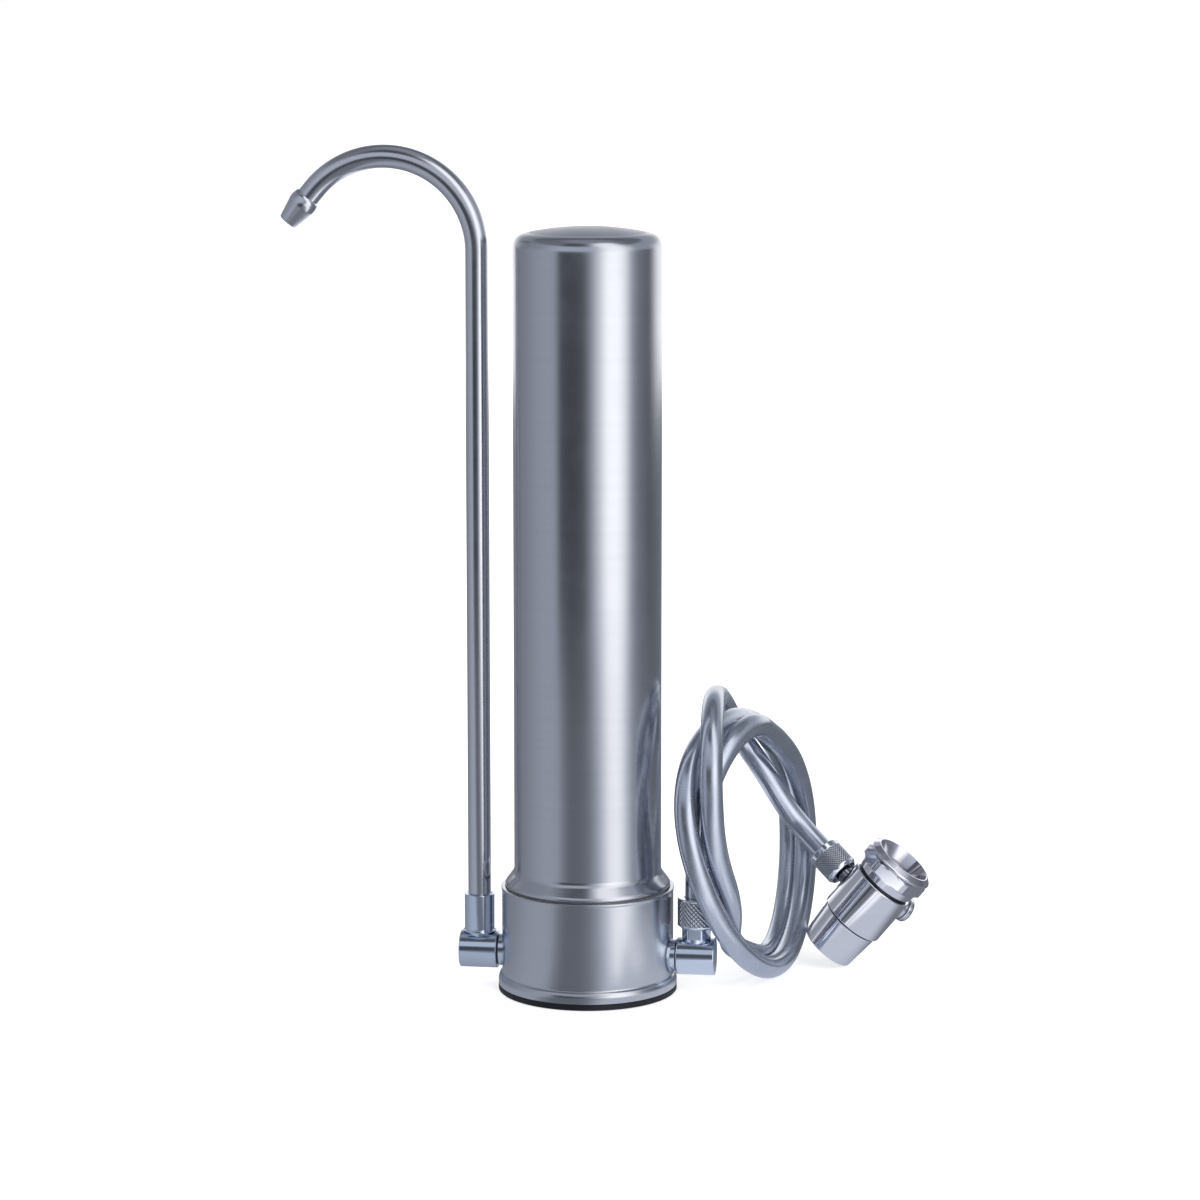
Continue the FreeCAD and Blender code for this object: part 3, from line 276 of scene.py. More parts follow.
def turned(name, corners, axis=UPRIGHT, segments=128, shape=None, shade=None, **how):
    """The point (radius cos a, radius sin a, height) for each point of the profile and each angle a.
    shape(radius, height, angle) may change the radius as it goes round, and shade(radius, height, cut) says
    from 0 to 1 how much painted shade sits at each point, with soiling as well in the knurls."""
    profile = rounded(corners)
    angle = np.linspace(0, 2 * math.pi, segments, endpoint=False)[None, :]
    radius = profile[:, :1] * np.ones_like(angle)
    height = profile[:, 1:] * np.ones_like(angle)
    cut = 0 * radius
    if shape:
        cut = radius - shape(radius, height, angle)
        radius = radius - cut
    local = np.stack([radius * np.cos(angle), radius * np.sin(angle), height], -1)
    origin, turn = axis
    shade_and_dirt = shade(radius, height, cut) if shade else 0.0
    return grid_piece(name, (local @ turn.T + origin) * MM, shade_and_dirt=shade_and_dirt, **how)


def painted_shade_band(low, high, inside=99.0, share=1.0):
    """The same share of painted shade on everything from height low to high that lies inside a radius."""
    return lambda radius, height, cut: share * ((height > low) & (height < high) & (radius < inside))


def shade_and_dirt_by_depth(radius, height, cut):
    """Painted shade and soiling in proportion to the depth of the cut."""
    return np.abs(cut) / np.abs(cut).max()


print("the valve's axis leans by", VALVE_LEAN, "degrees")

# %% [markdown]
# ## The base cup
# The cup is spun from steel sheet, with a rolled bead at its foot and a thin one at its rim. The two beads
# could be rings of their own, but they are one sheet with the wall, so they are corners of one profile. Each
# corner below is a radius, a height and, where it isn't the usual one, the size of its round.

# %% Base cup
turned("cup_skin", [
    (0, 2.5), (38.9, 2.5, 0.5), (39.0, 5.6, 0.9), (38.35, 7.3, 0.9), (37.4, 7.9, 0.5), (37.4, 44.9, 0.4),
    (37.72, 45.3, 0.3), (37.72, 46.0, 0.3), (37.3, 46.3, 0.2), (35.9, 46.3, 0.2), (35.9, 4.0), (0, 4.0),
], segments=256, replaces=["base_cup"], slot="cup_steel")

# %% [markdown]
# ## The housing
# A tall spun can. At its foot it widens into a skirt that just drops inside the cup's rim. On top it has a
# shallow dome, part of a large ball, which meets the wall in a tight round corner. A subdivision surface
# would only come near to that, so the ball and the corner are worked out as two arcs that share a tangent.

# %% Housing
HOUSING_R, HOUSING_TOP, DOME_RISE, CORNER_R, WALL = 32.0, 332.8, 4.0, 6.0, 1.2
# The dome's top takes this share of painted shade, which darkens it, and of dulling, which roughens it.
DOME_EDGE, DOME_SHADE_AND_DULLING = HOUSING_TOP - 2.5, 0.25
ball = (HOUSING_R ** 2 + DOME_RISE ** 2) / (2 * DOME_RISE)
dome_centre = HOUSING_TOP - ball
corner_x = HOUSING_R - CORNER_R
corner_z = dome_centre + math.sqrt((ball - CORNER_R) ** 2 - corner_x ** 2)
slope = math.degrees(math.atan2(corner_z - dome_centre, corner_x))


def crown(inset, order=1):
    """The round corner and the dome, set in by a wall's thickness, from the wall to the axis. order -1 runs
    it the other way."""
    points = [(HOUSING_R - inset, corner_z - 1.0, 0)]
    points += arc((corner_x, corner_z), CORNER_R - inset, 0, slope, 9)
    points += arc((0, dome_centre), ball - inset, slope, 90, 20)[1:]
    return points[::order]


# The dome is darkened with painted shade and made a little rougher, so that it mirrors the bright room less.
turned("housing_skin", [
    (34.8, 46.6, 0.2), (35.7, 46.65, 0.3), (36.0, 47.5, 0.5), (35.6, 48.5, 0.7), (32.0, 53.3, 1.4),
] + crown(0) + crown(WALL, -1) + [
    (HOUSING_R - WALL, 52.7, 0.8), (34.8, 47.2, 0.4),
], segments=256, shade=painted_shade_band(DOME_EDGE, HOUSING_TOP + 1, share=DOME_SHADE_AND_DULLING), replaces=["housing_shell"],
    body="housing", slot="shell_steel")

# %% [markdown]
# ## The housing's gasket
# The wet gasket clings to the slip ring above it. Its solid stays on the lifting body, which would leave it
# in the air under an unscrewed housing, so the visible one rides on the slip ring instead.

# %% Gasket
GASKET_BORE, GASKET_R, GASKET_LOW, GASKET_HIGH = 29.2, 35.3, 43.6, 45.0
turned("gasket_skin", [(GASKET_BORE, GASKET_LOW), (GASKET_R, GASKET_LOW), (GASKET_R, GASKET_HIGH),
                       (GASKET_BORE, GASKET_HIGH)],
       replaces=["housing_gasket"], body="slip_ring", slot="seal_rubber")

# %% [markdown]
# ## The elbows
# On each side of the cup a turned chrome block carries the water round the corner: a short neck that hides a
# rubber saddle, then a thick cylinder that lies on its side, with the spout's socket or the inlet's stub on
# top. Both are the same block, so one loop makes them, turned about an axis that points left or right. The
# dark line between neck and block is a real groove, and painted shade darkens it as well, because it is only
# half a millimetre wide.

# %% Elbows
PORT_Z, ELBOW_R, ELBOW_START, ELBOW_END = 16.0, 8.25, 39.5, 56.1
FITTING_X = (ELBOW_START + ELBOW_END) / 2
for side, node in ((-1, "outlet_elbow"), (1, "inlet_elbow")):
    # A thin band of painted shade darkens the groove between neck and block.
    turned(node + "_skin", [
        (0, 23.4), (5.5, 23.4), (5.5, 36.6, 0.1), (7.08, 36.6, 0.1), (7.08, 38.85, 0.1), (6.6, 38.95, 0.05),
        (6.6, ELBOW_START, 0.05), (ELBOW_R, ELBOW_START, 0.5), (ELBOW_R, ELBOW_END, 0.5), (0, ELBOW_END),
    ], axis_at((0, 0, PORT_Z), (side, 0, 0)), segments=160, shade=painted_shade_band(38.9, 39.48, inside=7.0),
        replaces=[node], slot="fitting_chrome")

# %% [markdown]
# ## The spout
# The tube turns in a plain socket with two rubber rings. Its arch is one bend. A bevelled curve would give
# the outside only, and this tube has a bore that shows at the nozzle's end, so it is rings of points carried
# along a line, up, round an arc of 140 degrees and a little further, once outside and once inside.

# %% Spout socket
SPOUT_AXIS = axis_at((-FITTING_X, 0, 0), (0, 0, 1))
turned("socket_skin", [
    (3.0, 19.1), (5.2, 19.1), (5.2, 24.3, 0.1), (7.3, 24.3, 0.1), (7.2, 24.6, 0.1), (6.6, 25.3, 0.3),
    (6.6, 41.0, 0.5), (5.75, 41.0, 0.25), (5.1, 40.0, 0.2), (5.1, 27.0), (3.0, 27.0),
], SPOUT_AXIS, replaces=["spout_socket"], slot="fitting_chrome")

# %% The tube's line
TUBE_R, TUBE_BORE, ARCH_Z, ARCH_R, ARCH_SWEEP, TUBE_LEAD = 5.0, 4.0, 322.0, 39.8, 140.0, 4.0
straight = [(0.0, z) for z in (27.05, 27.2, 60, 120, 180, 240, 300, 320)]
sweep = np.radians(np.linspace(0, ARCH_SWEEP, 72))
arch = np.stack([ARCH_R * (np.cos(sweep) - 1), ARCH_Z + ARCH_R * np.sin(sweep)], 1)
tip_way = np.array((-math.sin(sweep[-1]), math.cos(sweep[-1])))
line = np.vstack([straight, arch, arch[-1] + tip_way * (TUBE_LEAD - 0.15), arch[-1] + tip_way * TUBE_LEAD])
way = np.vstack([np.tile((0.0, 1.0), (len(straight), 1)), np.stack([-np.sin(sweep), np.cos(sweep)], 1),
                 [tip_way, tip_way]])
print("spout: highest centre", round(float(line[:, 1].max()), 1), "mm")

# %% Spout tube
ring_angle = np.linspace(0, 2 * math.pi, 64, endpoint=False)[None, :]


def along_line(radius):
    """Centre + radius (cos b times the line's normal in its plane + sin b times the plane's own normal)."""
    x = line[:, :1] - radius * np.cos(ring_angle) * way[:, 1:]
    z = line[:, 1:] + radius * np.cos(ring_angle) * way[:, :1]
    y = -radius * np.sin(ring_angle) * np.ones_like(x)
    return np.stack([x - FITTING_X, y, z], -1) * MM


grid_piece("spout_skin", np.vstack([along_line(TUBE_R), along_line(TUBE_BORE)[::-1]]),
           replaces=["spout_tube"], body="spout", slot="spout_steel")

# %% Nozzle
arch_end = np.array((-FITTING_X + line[-1][0], 0, line[-1][1]))
turned("nozzle_skin", [
    (2.6, -3.8), (3.95, -3.8), (3.95, 0, 0.1), (5.05, 0, 0.15), (5.75, 0.9, 0.5), (6.2, 3.2, 0.5),
    (6.2, 4.7, 0.5), (4.25, 13.9, 0.3), (4.0, 14.2, 0.2), (2.6, 14.2),
], axis_at(arch_end, (tip_way[0], 0, tip_way[1])), segments=96, replaces=["spout_nozzle"], body="spout",
    slot="nozzle_satin")

# %% [markdown]
# ## Hexagons and knurls
# A hexagon is a turned piece whose radius is cut down to six flats. A knurl is a turned piece whose radius
# dips where two families of slanting grooves run, which leaves rows of little pyramids. A bump texture would
# be cheaper, but the nuts' outlines would stay smooth. Both are functions of the angle and the height, so
# both stay on the same grid.

# %% Hexagon and knurl
KNURL_POWER, KNURL_FADE = 1.3, 0.5


def hexagon(across_flats, corner_r, first, reach):
    """Outside reach, the radius is held under (half the width across flats) / cos(angle to the nearest flat's
    middle), and under the radius that the corners are turned off to. first is a corner's angle in degrees."""
    def shape(radius, height, angle):
        off = np.mod(angle - math.radians(first), math.pi / 3) - math.pi / 6
        flat = across_flats / 2 / np.cos(off)
        return np.where(radius > reach, np.minimum(radius, np.minimum(flat, corner_r)), radius)
    return shape


def knurl(count, pitch, depth, low, high, reach, lean):
    """Outside reach, depth times (the deeper of two slanting triangle waves) to the power KNURL_POWER, faded
    out at both ends. The second wave is lean times as deep."""
    def shape(radius, height, angle):
        turn = angle * count / (2 * math.pi)
        one = np.abs(2 * np.mod(turn + height / pitch, 1) - 1)
        two = np.abs(2 * np.mod(turn - height / pitch, 1) - 1)
        cut = np.maximum(one, two * lean) ** KNURL_POWER
        fade = np.clip((height - low) / KNURL_FADE, 0, 1) * np.clip((high - height) / KNURL_FADE, 0, 1)
        return radius - np.where(radius > reach, depth * cut * fade, 0)
    return shape


print("11.2 mm across flats is", round(11.2 / math.cos(math.pi / 6), 1), "mm across corners")

# %% Inlet stub and nut
INLET_AXIS = axis_at((FITTING_X, 0, 0), (0, 0, 1))
turned("stub_skin", [
    (3.0, 19.1), (5.2, 19.1), (5.2, 24.3, 0.1), (6.3, 24.3, 0.15), (6.3, 28.5, 0.15), (5.95, 28.5, 0.1),
    (5.95, 35.9), (5.05, 35.9), (5.05, 32.9), (3.0, 32.9),
], INLET_AXIS, segments=180, shape=hexagon(across_flats=11.2, corner_r=6.35, first=-1.6, reach=5.97),
    replaces=["inlet_stub"], slot="fitting_chrome")
# The knurl's grooves are darkened by their depth: dirt with painted shade.
turned("inlet_nut_skin", [
    (6.25, 28.55, 0.05), (6.5, 28.55, 0.1)] + band(8.3, 30.2, 41.7, 90) + [(8.3, 42.0, 0.2), (7.9, 42.3, 0.2),
    (5.3, 42.3, 0.2), (5.3, 39.3, 0.05), (6.25, 39.3, 0.05),
], INLET_AXIS, segments=375,
    shape=knurl(count=25, pitch=2.03, depth=0.42, low=30.3, high=41.6, reach=8.0, lean=0.75),
    shade=shade_and_dirt_by_depth, replaces=["inlet_nut"], body="inlet_nut", slot="nut_chrome")

# %% [markdown]
# ## The diverter valve
# It lies on its rim beside the loop. Everything is turned about the valve's own axis: the sleeve that holds
# the aerator, the body, the swivel nut with its hexagon, and the dished collar with the faucet's thread. The
# thin dark lines between them are grooves in the profile, darkened further with painted shade. The hose's port
# and the knob stand out of the side on axes of their own.

# %% Valve sleeve and body
VALVE_AXIS = (np.array(VALVE_FOOT), VALVE_TURN)
# Painted shade darkens the band where the sleeve's top meets the body.
turned("sleeve_skin", [
    (10.4, 0.05, 0.15), (12.25, 0, 0.45), (13.62, 16.85, 0.12), (13.2, 17.05, 0.05), (13.2, 17.72, 0.05),
    (10.8, 17.72, 0.1), (10.8, 2.6), (10.4, 2.6),
], VALVE_AXIS, segments=192, shade=painted_shade_band(17.0, 17.8), replaces=["valve_sleeve"], slot="valve_chrome")
turned("body_skin", [
    (5.0, 9.5), (10.75, 9.5), (10.75, 17.8, 0.1), (14.65, 17.8, 0.35), (14.65, 40.0, 0.5), (9.6, 40.0, 0.1),
    (9.6, 43.2), (5.0, 43.2),
], VALVE_AXIS, segments=192, replaces=["valve_body"], slot="valve_chrome")

# %% Swivel nut
# Painted shade darkens the swivel nut's narrow neck above the body.
turned("swivel_skin", [
    (9.7, 40.05), (13.1, 40.05, 0.1), (13.1, 41.1, 0.1), (13.8, 41.4, 0.2), (14.3, 44.6, 0.2),
    (15.9, 45.6, 0.2), (15.9, 49.8, 0.2), (14.3, 50.8, 0.3), (11.65, 50.8, 0.1), (11.65, 41.6), (9.7, 41.6),
], VALVE_AXIS, segments=240, shape=hexagon(across_flats=28.6, corner_r=15.9, first=20, reach=13.95),
    shade=painted_shade_band(40.0, 41.2), replaces=["swivel_nut"], body="faucet", slot="valve_chrome")

# %% Collar with the faucet's thread
THREAD_LOW, THREAD_HIGH, THREAD_PITCH, THREAD_DEPTH, THREAD_FADE, CREST_R = 46.5, 48.6, 1.06, 0.3, 0.4, 10.5
ON_CREST = 0.05


def thread(radius, height, angle):
    """One start of a screw. The wall goes out by depth times a triangle wave of height / pitch less the share
    of a turn, faded out at both ends."""
    wave = np.abs(2 * np.mod(height / THREAD_PITCH - angle / (2 * math.pi), 1) - 1)
    fade = (np.clip((height - THREAD_LOW) / THREAD_FADE, 0, 1)
            * np.clip((THREAD_HIGH - height) / THREAD_FADE, 0, 1))
    return radius + np.where(np.abs(radius - CREST_R) < ON_CREST, THREAD_DEPTH * wave * fade, 0)


# Painted shade darkens the bore and the thread inside the collar's mouth a little.
turned("collar_skin", [
    (6.5, 43.95), (11.6, 43.95), (11.6, 51.2, 0.1), (15.5, 51.2, 0.3), (15.9, 51.7, 0.5), (15.75, 52.4, 0.5),
    (13.45, 54.4, 0.35), (12.85, 54.4, 0.3), (10.55, THREAD_HIGH + 0.1, 0.1)]
    + band(CREST_R, THREAD_HIGH, THREAD_LOW, 32) + [(10.8, 46.45, 0.05), (10.8, 44.35), (6.5, 44.35),
], VALVE_AXIS, segments=192, shape=thread, shade=painted_shade_band(44.0, 51.9, inside=11.0, share=0.35),
    replaces=["faucet_adapter"], body="faucet", slot="valve_chrome")

# %% Hose port with its knurled nut
PORT_AXIS = axis_at(VALVE_AXIS[0] + VALVE_TURN @ (0, 0, PORT_ALONG), port_way, VALVE_TURN[:, 2])
turned("port_skin", [
    (2.4, 5.6), (4.0, 5.6), (4.0, 18.7, 0.1), (5.95, 18.7, 0.15), (5.95, 24.6), (5.05, 24.6), (5.05, 21.8),
    (2.4, 21.8),
], PORT_AXIS, segments=96, replaces=["valve_stub"], slot="valve_dark")
# The knurl's grooves are darkened by their depth: dirt with painted shade.
turned("port_nut_skin", [
    (6.25, PORT_NUT_START, 0.05), (6.5, PORT_NUT_START, 0.1)] + band(7.55, 18.8, 30.4, 110) + [
    (7.55, 30.9, 0.2), (7.2, 31.2, 0.2), (5.3, 31.2, 0.2), (5.3, 28.2, 0.05), (6.25, 28.2, 0.05),
], PORT_AXIS, segments=374,
    shape=knurl(count=34, pitch=1.4, depth=0.22, low=18.9, high=28.6, reach=7.3, lean=0.9),
    shade=shade_and_dirt_by_depth, replaces=["valve_nut"], body="valve_nut", slot="nut_chrome")

# %% Knob and its gland
KNOB_TURN, KNOB_ALONG = math.radians(-130), 34.3
KNOB_AXIS = axis_at(VALVE_AXIS[0] + VALVE_TURN @ (0, 0, KNOB_ALONG),
                    VALVE_TURN @ (math.cos(KNOB_TURN), math.sin(KNOB_TURN), 0), VALVE_TURN[:, 2])
turned("gland_skin", [
    (2.08, 10.15), (4.6, 10.15), (4.6, 13.4, 0.1), (5.6, 13.4, 0.1), (5.6, 15.65, 0.5), (2.08, 15.65, 0.1),
], KNOB_AXIS, segments=96, replaces=["knob_gland"], slot="valve_dark")
turned("knob_skin", [
    (0, 17.4), (2.05, 17.4), (2.05, 15.95, 0.1), (5.8, 15.95, 0.5), (5.8, 18.75, 1.1), (0, 18.75),
], KNOB_AXIS, segments=96, replaces=["diverter_knob"], body="diverter", slot="valve_chrome")
print("pieces:", len(pieces), "and the hose")

# %% [markdown]
# ## Finishes
# Every finish is made of nodes that read the piece's own coordinates, so nothing slides when a piece moves.
# Three small effects are shared: fine lines left by a brush or a lathe tool, the faint smears of handling,
# and darkening, which is dirt with painted shade in the knurls' grooves, and painted shade alone in thin bands
# and on the dome. Painted textures could show them too, but nodes stay sharp however near the camera comes.
# Each effect is a node group that puts out values, and each finish uses it in its own measure.

# %% Helpers for node trees
def group(name, inputs, outputs, place=True):
    """An empty node group with float inputs and outputs, and a vector input Place unless place is False."""
    tree = bpy.data.node_groups.new(name, "ShaderNodeTree")
    if place:
        tree.interface.new_socket("Place", in_out="INPUT", socket_type="NodeSocketVector")
    for label, value in inputs.items():
        tree.interface.new_socket(label, in_out="INPUT", socket_type="NodeSocketFloat").default_value = value
    for label in outputs:
        tree.interface.new_socket(label, in_out="OUTPUT", socket_type="NodeSocketFloat")
    return tree, tree.nodes.new("NodeGroupInput"), tree.nodes.new("NodeGroupOutput")


def add(tree, kind, links=(), **values):
    """Adds a node, sets its properties and sockets by name, and links (socket, source) pairs."""
    node = tree.nodes.new(kind)
    for key, value in values.items():
        if key in node.inputs.keys():
            node.inputs[key].default_value = value
        else:
            setattr(node, key, value)
    for socket, source in links:
        tree.links.new(source, node.inputs[socket])
    return node


def spread_over(tree, value, low, high, **how):
    """A Map Range node from low and high, pairs of (from, to), as a socket."""
    node = add(tree, "ShaderNodeMapRange", [("Value", value)], **how)
    node.inputs["From Min"].default_value, node.inputs["To Min"].default_value = low
    node.inputs["From Max"].default_value, node.inputs["To Max"].default_value = high
    return node.outputs["Result"]


def new_material(name):
    """A material, its node tree and its Principled shader."""
    material = bpy.data.materials.new(name)
    material.use_nodes = True
    return material, material.node_tree, material.node_tree.nodes["Principled BSDF"]


# %% Tool lines
BROAD_SCALE = 0.12
tool_lines, lines_in, lines_out = group("tool_lines", {"Fineness": 2500.0, "Drift": 12.0},
                                        ["Line", "Broad"])
stretch = add(tool_lines, "ShaderNodeCombineXYZ", [
    ("X", lines_in.outputs["Drift"]), ("Y", lines_in.outputs["Drift"]), ("Z", lines_in.outputs["Fineness"])])
scaled = add(tool_lines, "ShaderNodeVectorMath", [(0, lines_in.outputs["Place"]), (1, stretch.outputs[0])],
             operation="MULTIPLY")
fine = add(tool_lines, "ShaderNodeTexNoise", [("Vector", scaled.outputs[0])],
           Scale=1.0, Detail=3.0, Roughness=0.6)
wide = add(tool_lines, "ShaderNodeVectorMath", [(0, scaled.outputs[0])], operation="SCALE",
           Scale=BROAD_SCALE)
broad = add(tool_lines, "ShaderNodeTexNoise", [("Vector", wide.outputs[0])], Scale=1.0, Detail=2.0)
tool_lines.links.new(fine.outputs["Fac"], lines_out.inputs["Line"])
tool_lines.links.new(broad.outputs["Fac"], lines_out.inputs["Broad"])
print("shared effect:", tool_lines.name)

# %% Smears
SMEAR_EDGE = (0.42, 0.68)
smears, smears_in, smears_out = group("smears", {"Size": 60.0}, ["Smear"])
patch = add(smears, "ShaderNodeTexNoise", [
    ("Vector", smears_in.outputs["Place"]), ("Scale", smears_in.outputs["Size"])], Detail=4.0, Roughness=0.55)
soft = spread_over(smears, patch.outputs["Fac"], (SMEAR_EDGE[0], 0.0), (SMEAR_EDGE[1], 1.0),
                   interpolation_type="SMOOTHSTEP")
smears.links.new(soft, smears_out.inputs["Smear"])
print("shared effect:", smears.name)

# %% Dirt and painted shade
GROOVE_DULLING = 0.3
grooves, grooves_in, grooves_out = group("grooves", {"Shade_and_dirt": 0.0, "Grime": 0.9}, ["Dirt", "Dulling"],
                                         place=False)
# Darkening: dirt with painted shade in the knurls, painted shade alone in thin bands and on the dome.
dirt = add(grooves, "ShaderNodeMath", [(0, grooves_in.outputs["Shade_and_dirt"]), (1, grooves_in.outputs["Grime"])],
           operation="MULTIPLY")
dulling = add(grooves, "ShaderNodeMath", [(0, grooves_in.outputs["Shade_and_dirt"])], operation="MULTIPLY")
dulling.inputs[1].default_value = GROOVE_DULLING
grooves.links.new(dirt.outputs[0], grooves_out.inputs["Dirt"])
grooves.links.new(dulling.outputs[0], grooves_out.inputs["Dulling"])
print("shared effect:", grooves.name)

# %% [markdown]
# The metals differ in colour, in roughness and in how strongly the three effects show. Brushed steel has
# clear lines and a wide, soft highlight, polished chrome is nearly a mirror, and the knurled nuts are chrome
# with grooves darkened by dirt and painted shade. One function makes them all, so that a change to the recipe
# reaches every one.

# %% Metal finishes
# The last colour is the one that painted shade and dirt darken the metal towards.
LINE_DEPTH, METAL_SHIFT, SHADE_AND_DIRT_COLOUR = 0.0001, 0.04, (0.03, 0.03, 0.04, 1)


def varied(tree, share, colour, by):
    """The colour from a little darker to a little lighter, by that share of itself."""
    shade = add(tree, "ShaderNodeMix", [("Factor", share)], data_type="RGBA")
    shade.inputs[6].default_value = (*[c * (1 - by) for c in colour], 1)
    shade.inputs[7].default_value = (*[min(1.0, c * (1 + by)) for c in colour], 1)
    return shade.outputs[2]


def metal(name, colour, roughness, lines=0.0, smear=0.05, shade_and_dirt_strength=0.0):
    """Bare metal. Tool lines tilt the surface a little, and smears dull it. Where the mesh asks for it, the
    surface is darkened and dulled as well: painted shade in thin bands and on the dome, and painted shade with
    soiling in the knurls."""
    material, tree, shader = new_material(name)
    shader.inputs["Metallic"].default_value = 1.0
    place = add(tree, "ShaderNodeTexCoord").outputs["Object"]
    marks = add(tree, "ShaderNodeGroup", node_tree=smears)
    tree.links.new(place, marks.inputs["Place"])
    rough = spread_over(tree, marks.outputs["Smear"], (0.0, roughness), (1.0, roughness + smear))
    tool = add(tree, "ShaderNodeGroup", node_tree=tool_lines)
    tree.links.new(place, tool.inputs["Place"])
    shade = varied(tree, tool.outputs["Broad"], colour, METAL_SHIFT)
    # Painted shade, with dirt in the knurls, darkens and dulls the metal where the mesh's attribute asks.
    if shade_and_dirt_strength:
        deep = add(tree, "ShaderNodeAttribute", attribute_name="shade_and_dirt").outputs["Fac"]
        dirty = add(tree, "ShaderNodeGroup", node_tree=grooves, Grime=shade_and_dirt_strength)
        tree.links.new(deep, dirty.inputs["Shade_and_dirt"])
        rough = add(tree, "ShaderNodeMath", [(0, rough), (1, dirty.outputs["Dulling"])],
                    operation="ADD").outputs[0]
        mixed = add(tree, "ShaderNodeMix", [("Factor", dirty.outputs["Dirt"]), (6, shade)], data_type="RGBA")
        mixed.inputs[7].default_value = SHADE_AND_DIRT_COLOUR
        shade = mixed.outputs[2]
    tree.links.new(rough, shader.inputs["Roughness"])
    tree.links.new(shade, shader.inputs["Base Color"])
    if lines:
        bump = add(tree, "ShaderNodeBump", [("Height", tool.outputs["Line"])],
                   Strength=lines, Distance=LINE_DEPTH)
        tree.links.new(bump.outputs["Normal"], shader.inputs["Normal"])
    material.diffuse_color = (*colour, 1)
    print("finish:", name)
    return material


BRUSHED = metal("brushed_housing", (0.55, 0.565, 0.61), 0.20, lines=0.12, smear=0.03, shade_and_dirt_strength=0.95)
CUP = metal("brushed_cup", (0.55, 0.565, 0.61), 0.22, lines=0.16, smear=0.03)
CHROME = metal("bright_chrome", (0.67, 0.74, 0.86), 0.05, smear=0.04)
FITTING = metal("fitting_chrome", (0.67, 0.74, 0.86), 0.12, smear=0.04, shade_and_dirt_strength=0.95)
VALVE_CHROME = metal("valve_chrome", (0.78, 0.78, 0.84), 0.06, smear=0.04, shade_and_dirt_strength=0.95)
DARK_CHROME = metal("dark_chrome", (0.30, 0.31, 0.35), 0.12, lines=0.03)
SATIN = metal("satin_tube", (0.62, 0.63, 0.68), 0.17, lines=0.02, smear=0.04)
KNURLED = metal("knurled_chrome", (0.76, 0.79, 0.86), 0.10, lines=0.05, shade_and_dirt_strength=0.85)
STEEL = metal("plain_steel", (0.5, 0.5, 0.52), 0.35, lines=0.2)
BRASS = metal("turned_brass", (0.62, 0.46, 0.22), 0.25, lines=0.3)

# %% [markdown]
# Rubber, plastic, ceramic and carbon are dull, with a grain of their own size. The hose's skin is made the
# same way, but the photo shows it as a silver, satin skin that mirrors its surroundings softly, so it is
# almost a metal. A woven sheath would need a fine pattern, and the photo shows none.

# %% Rubber, plastic, ceramic, carbon and the hose's skin
GRAIN_DEPTH, SMEAR_SIZE, SMEAR_DULLING = 0.0001, 90.0, 0.1


def dull(name, colour, roughness, grain=800.0, bump=0.1, shift=0.15, metallic=0.0, detail=4.0):
    """A surface with a fine grain that shifts its colour and lifts it a little."""
    material, tree, shader = new_material(name)
    shader.inputs["Metallic"].default_value = metallic
    place = add(tree, "ShaderNodeTexCoord").outputs["Object"]
    grains = add(tree, "ShaderNodeTexNoise", [("Vector", place)], Scale=grain, Detail=detail)
    marks = add(tree, "ShaderNodeGroup", node_tree=smears, Size=SMEAR_SIZE)
    tree.links.new(place, marks.inputs["Place"])
    tree.links.new(varied(tree, grains.outputs["Fac"], colour, shift), shader.inputs["Base Color"])
    rough = spread_over(tree, marks.outputs["Smear"], (0.0, roughness),
                        (1.0, min(1.0, roughness + SMEAR_DULLING)))
    tree.links.new(rough, shader.inputs["Roughness"])
    lift = add(tree, "ShaderNodeBump", [("Height", grains.outputs["Fac"])],
               Strength=bump, Distance=GRAIN_DEPTH)
    tree.links.new(lift.outputs["Normal"], shader.inputs["Normal"])
    material.diffuse_color = (*colour, 1)
    print("finish:", name)
    return material


RUBBER = dull("foot_rubber", (0.008, 0.009, 0.014), 0.6, bump=0.2)
SEAL = dull("seal_rubber", (0.03, 0.03, 0.032), 0.5, bump=0.2)
WHITE = dull("white_plastic", (0.78, 0.78, 0.75), 0.4)
CERAMIC = dull("candle_ceramic", (0.82, 0.78, 0.68), 0.85, grain=1500.0, bump=0.5)
CARBON = dull("pressed_carbon", (0.02, 0.02, 0.02), 0.9, grain=2500.0, bump=1.0, shift=0.6)
HOSE = dull("hose_skin", (0.52, 0.56, 0.65), 0.20, grain=90.0, bump=0.05, shift=0.05, metallic=0.9,
            detail=0.0)

# %% [markdown]
# The new pieces and the solids that stay visible take their finishes here, in two tables. The solids' meshes
# keep their shape, and only the material in their slot is new. Most of them show when the housing is lifted
# off.

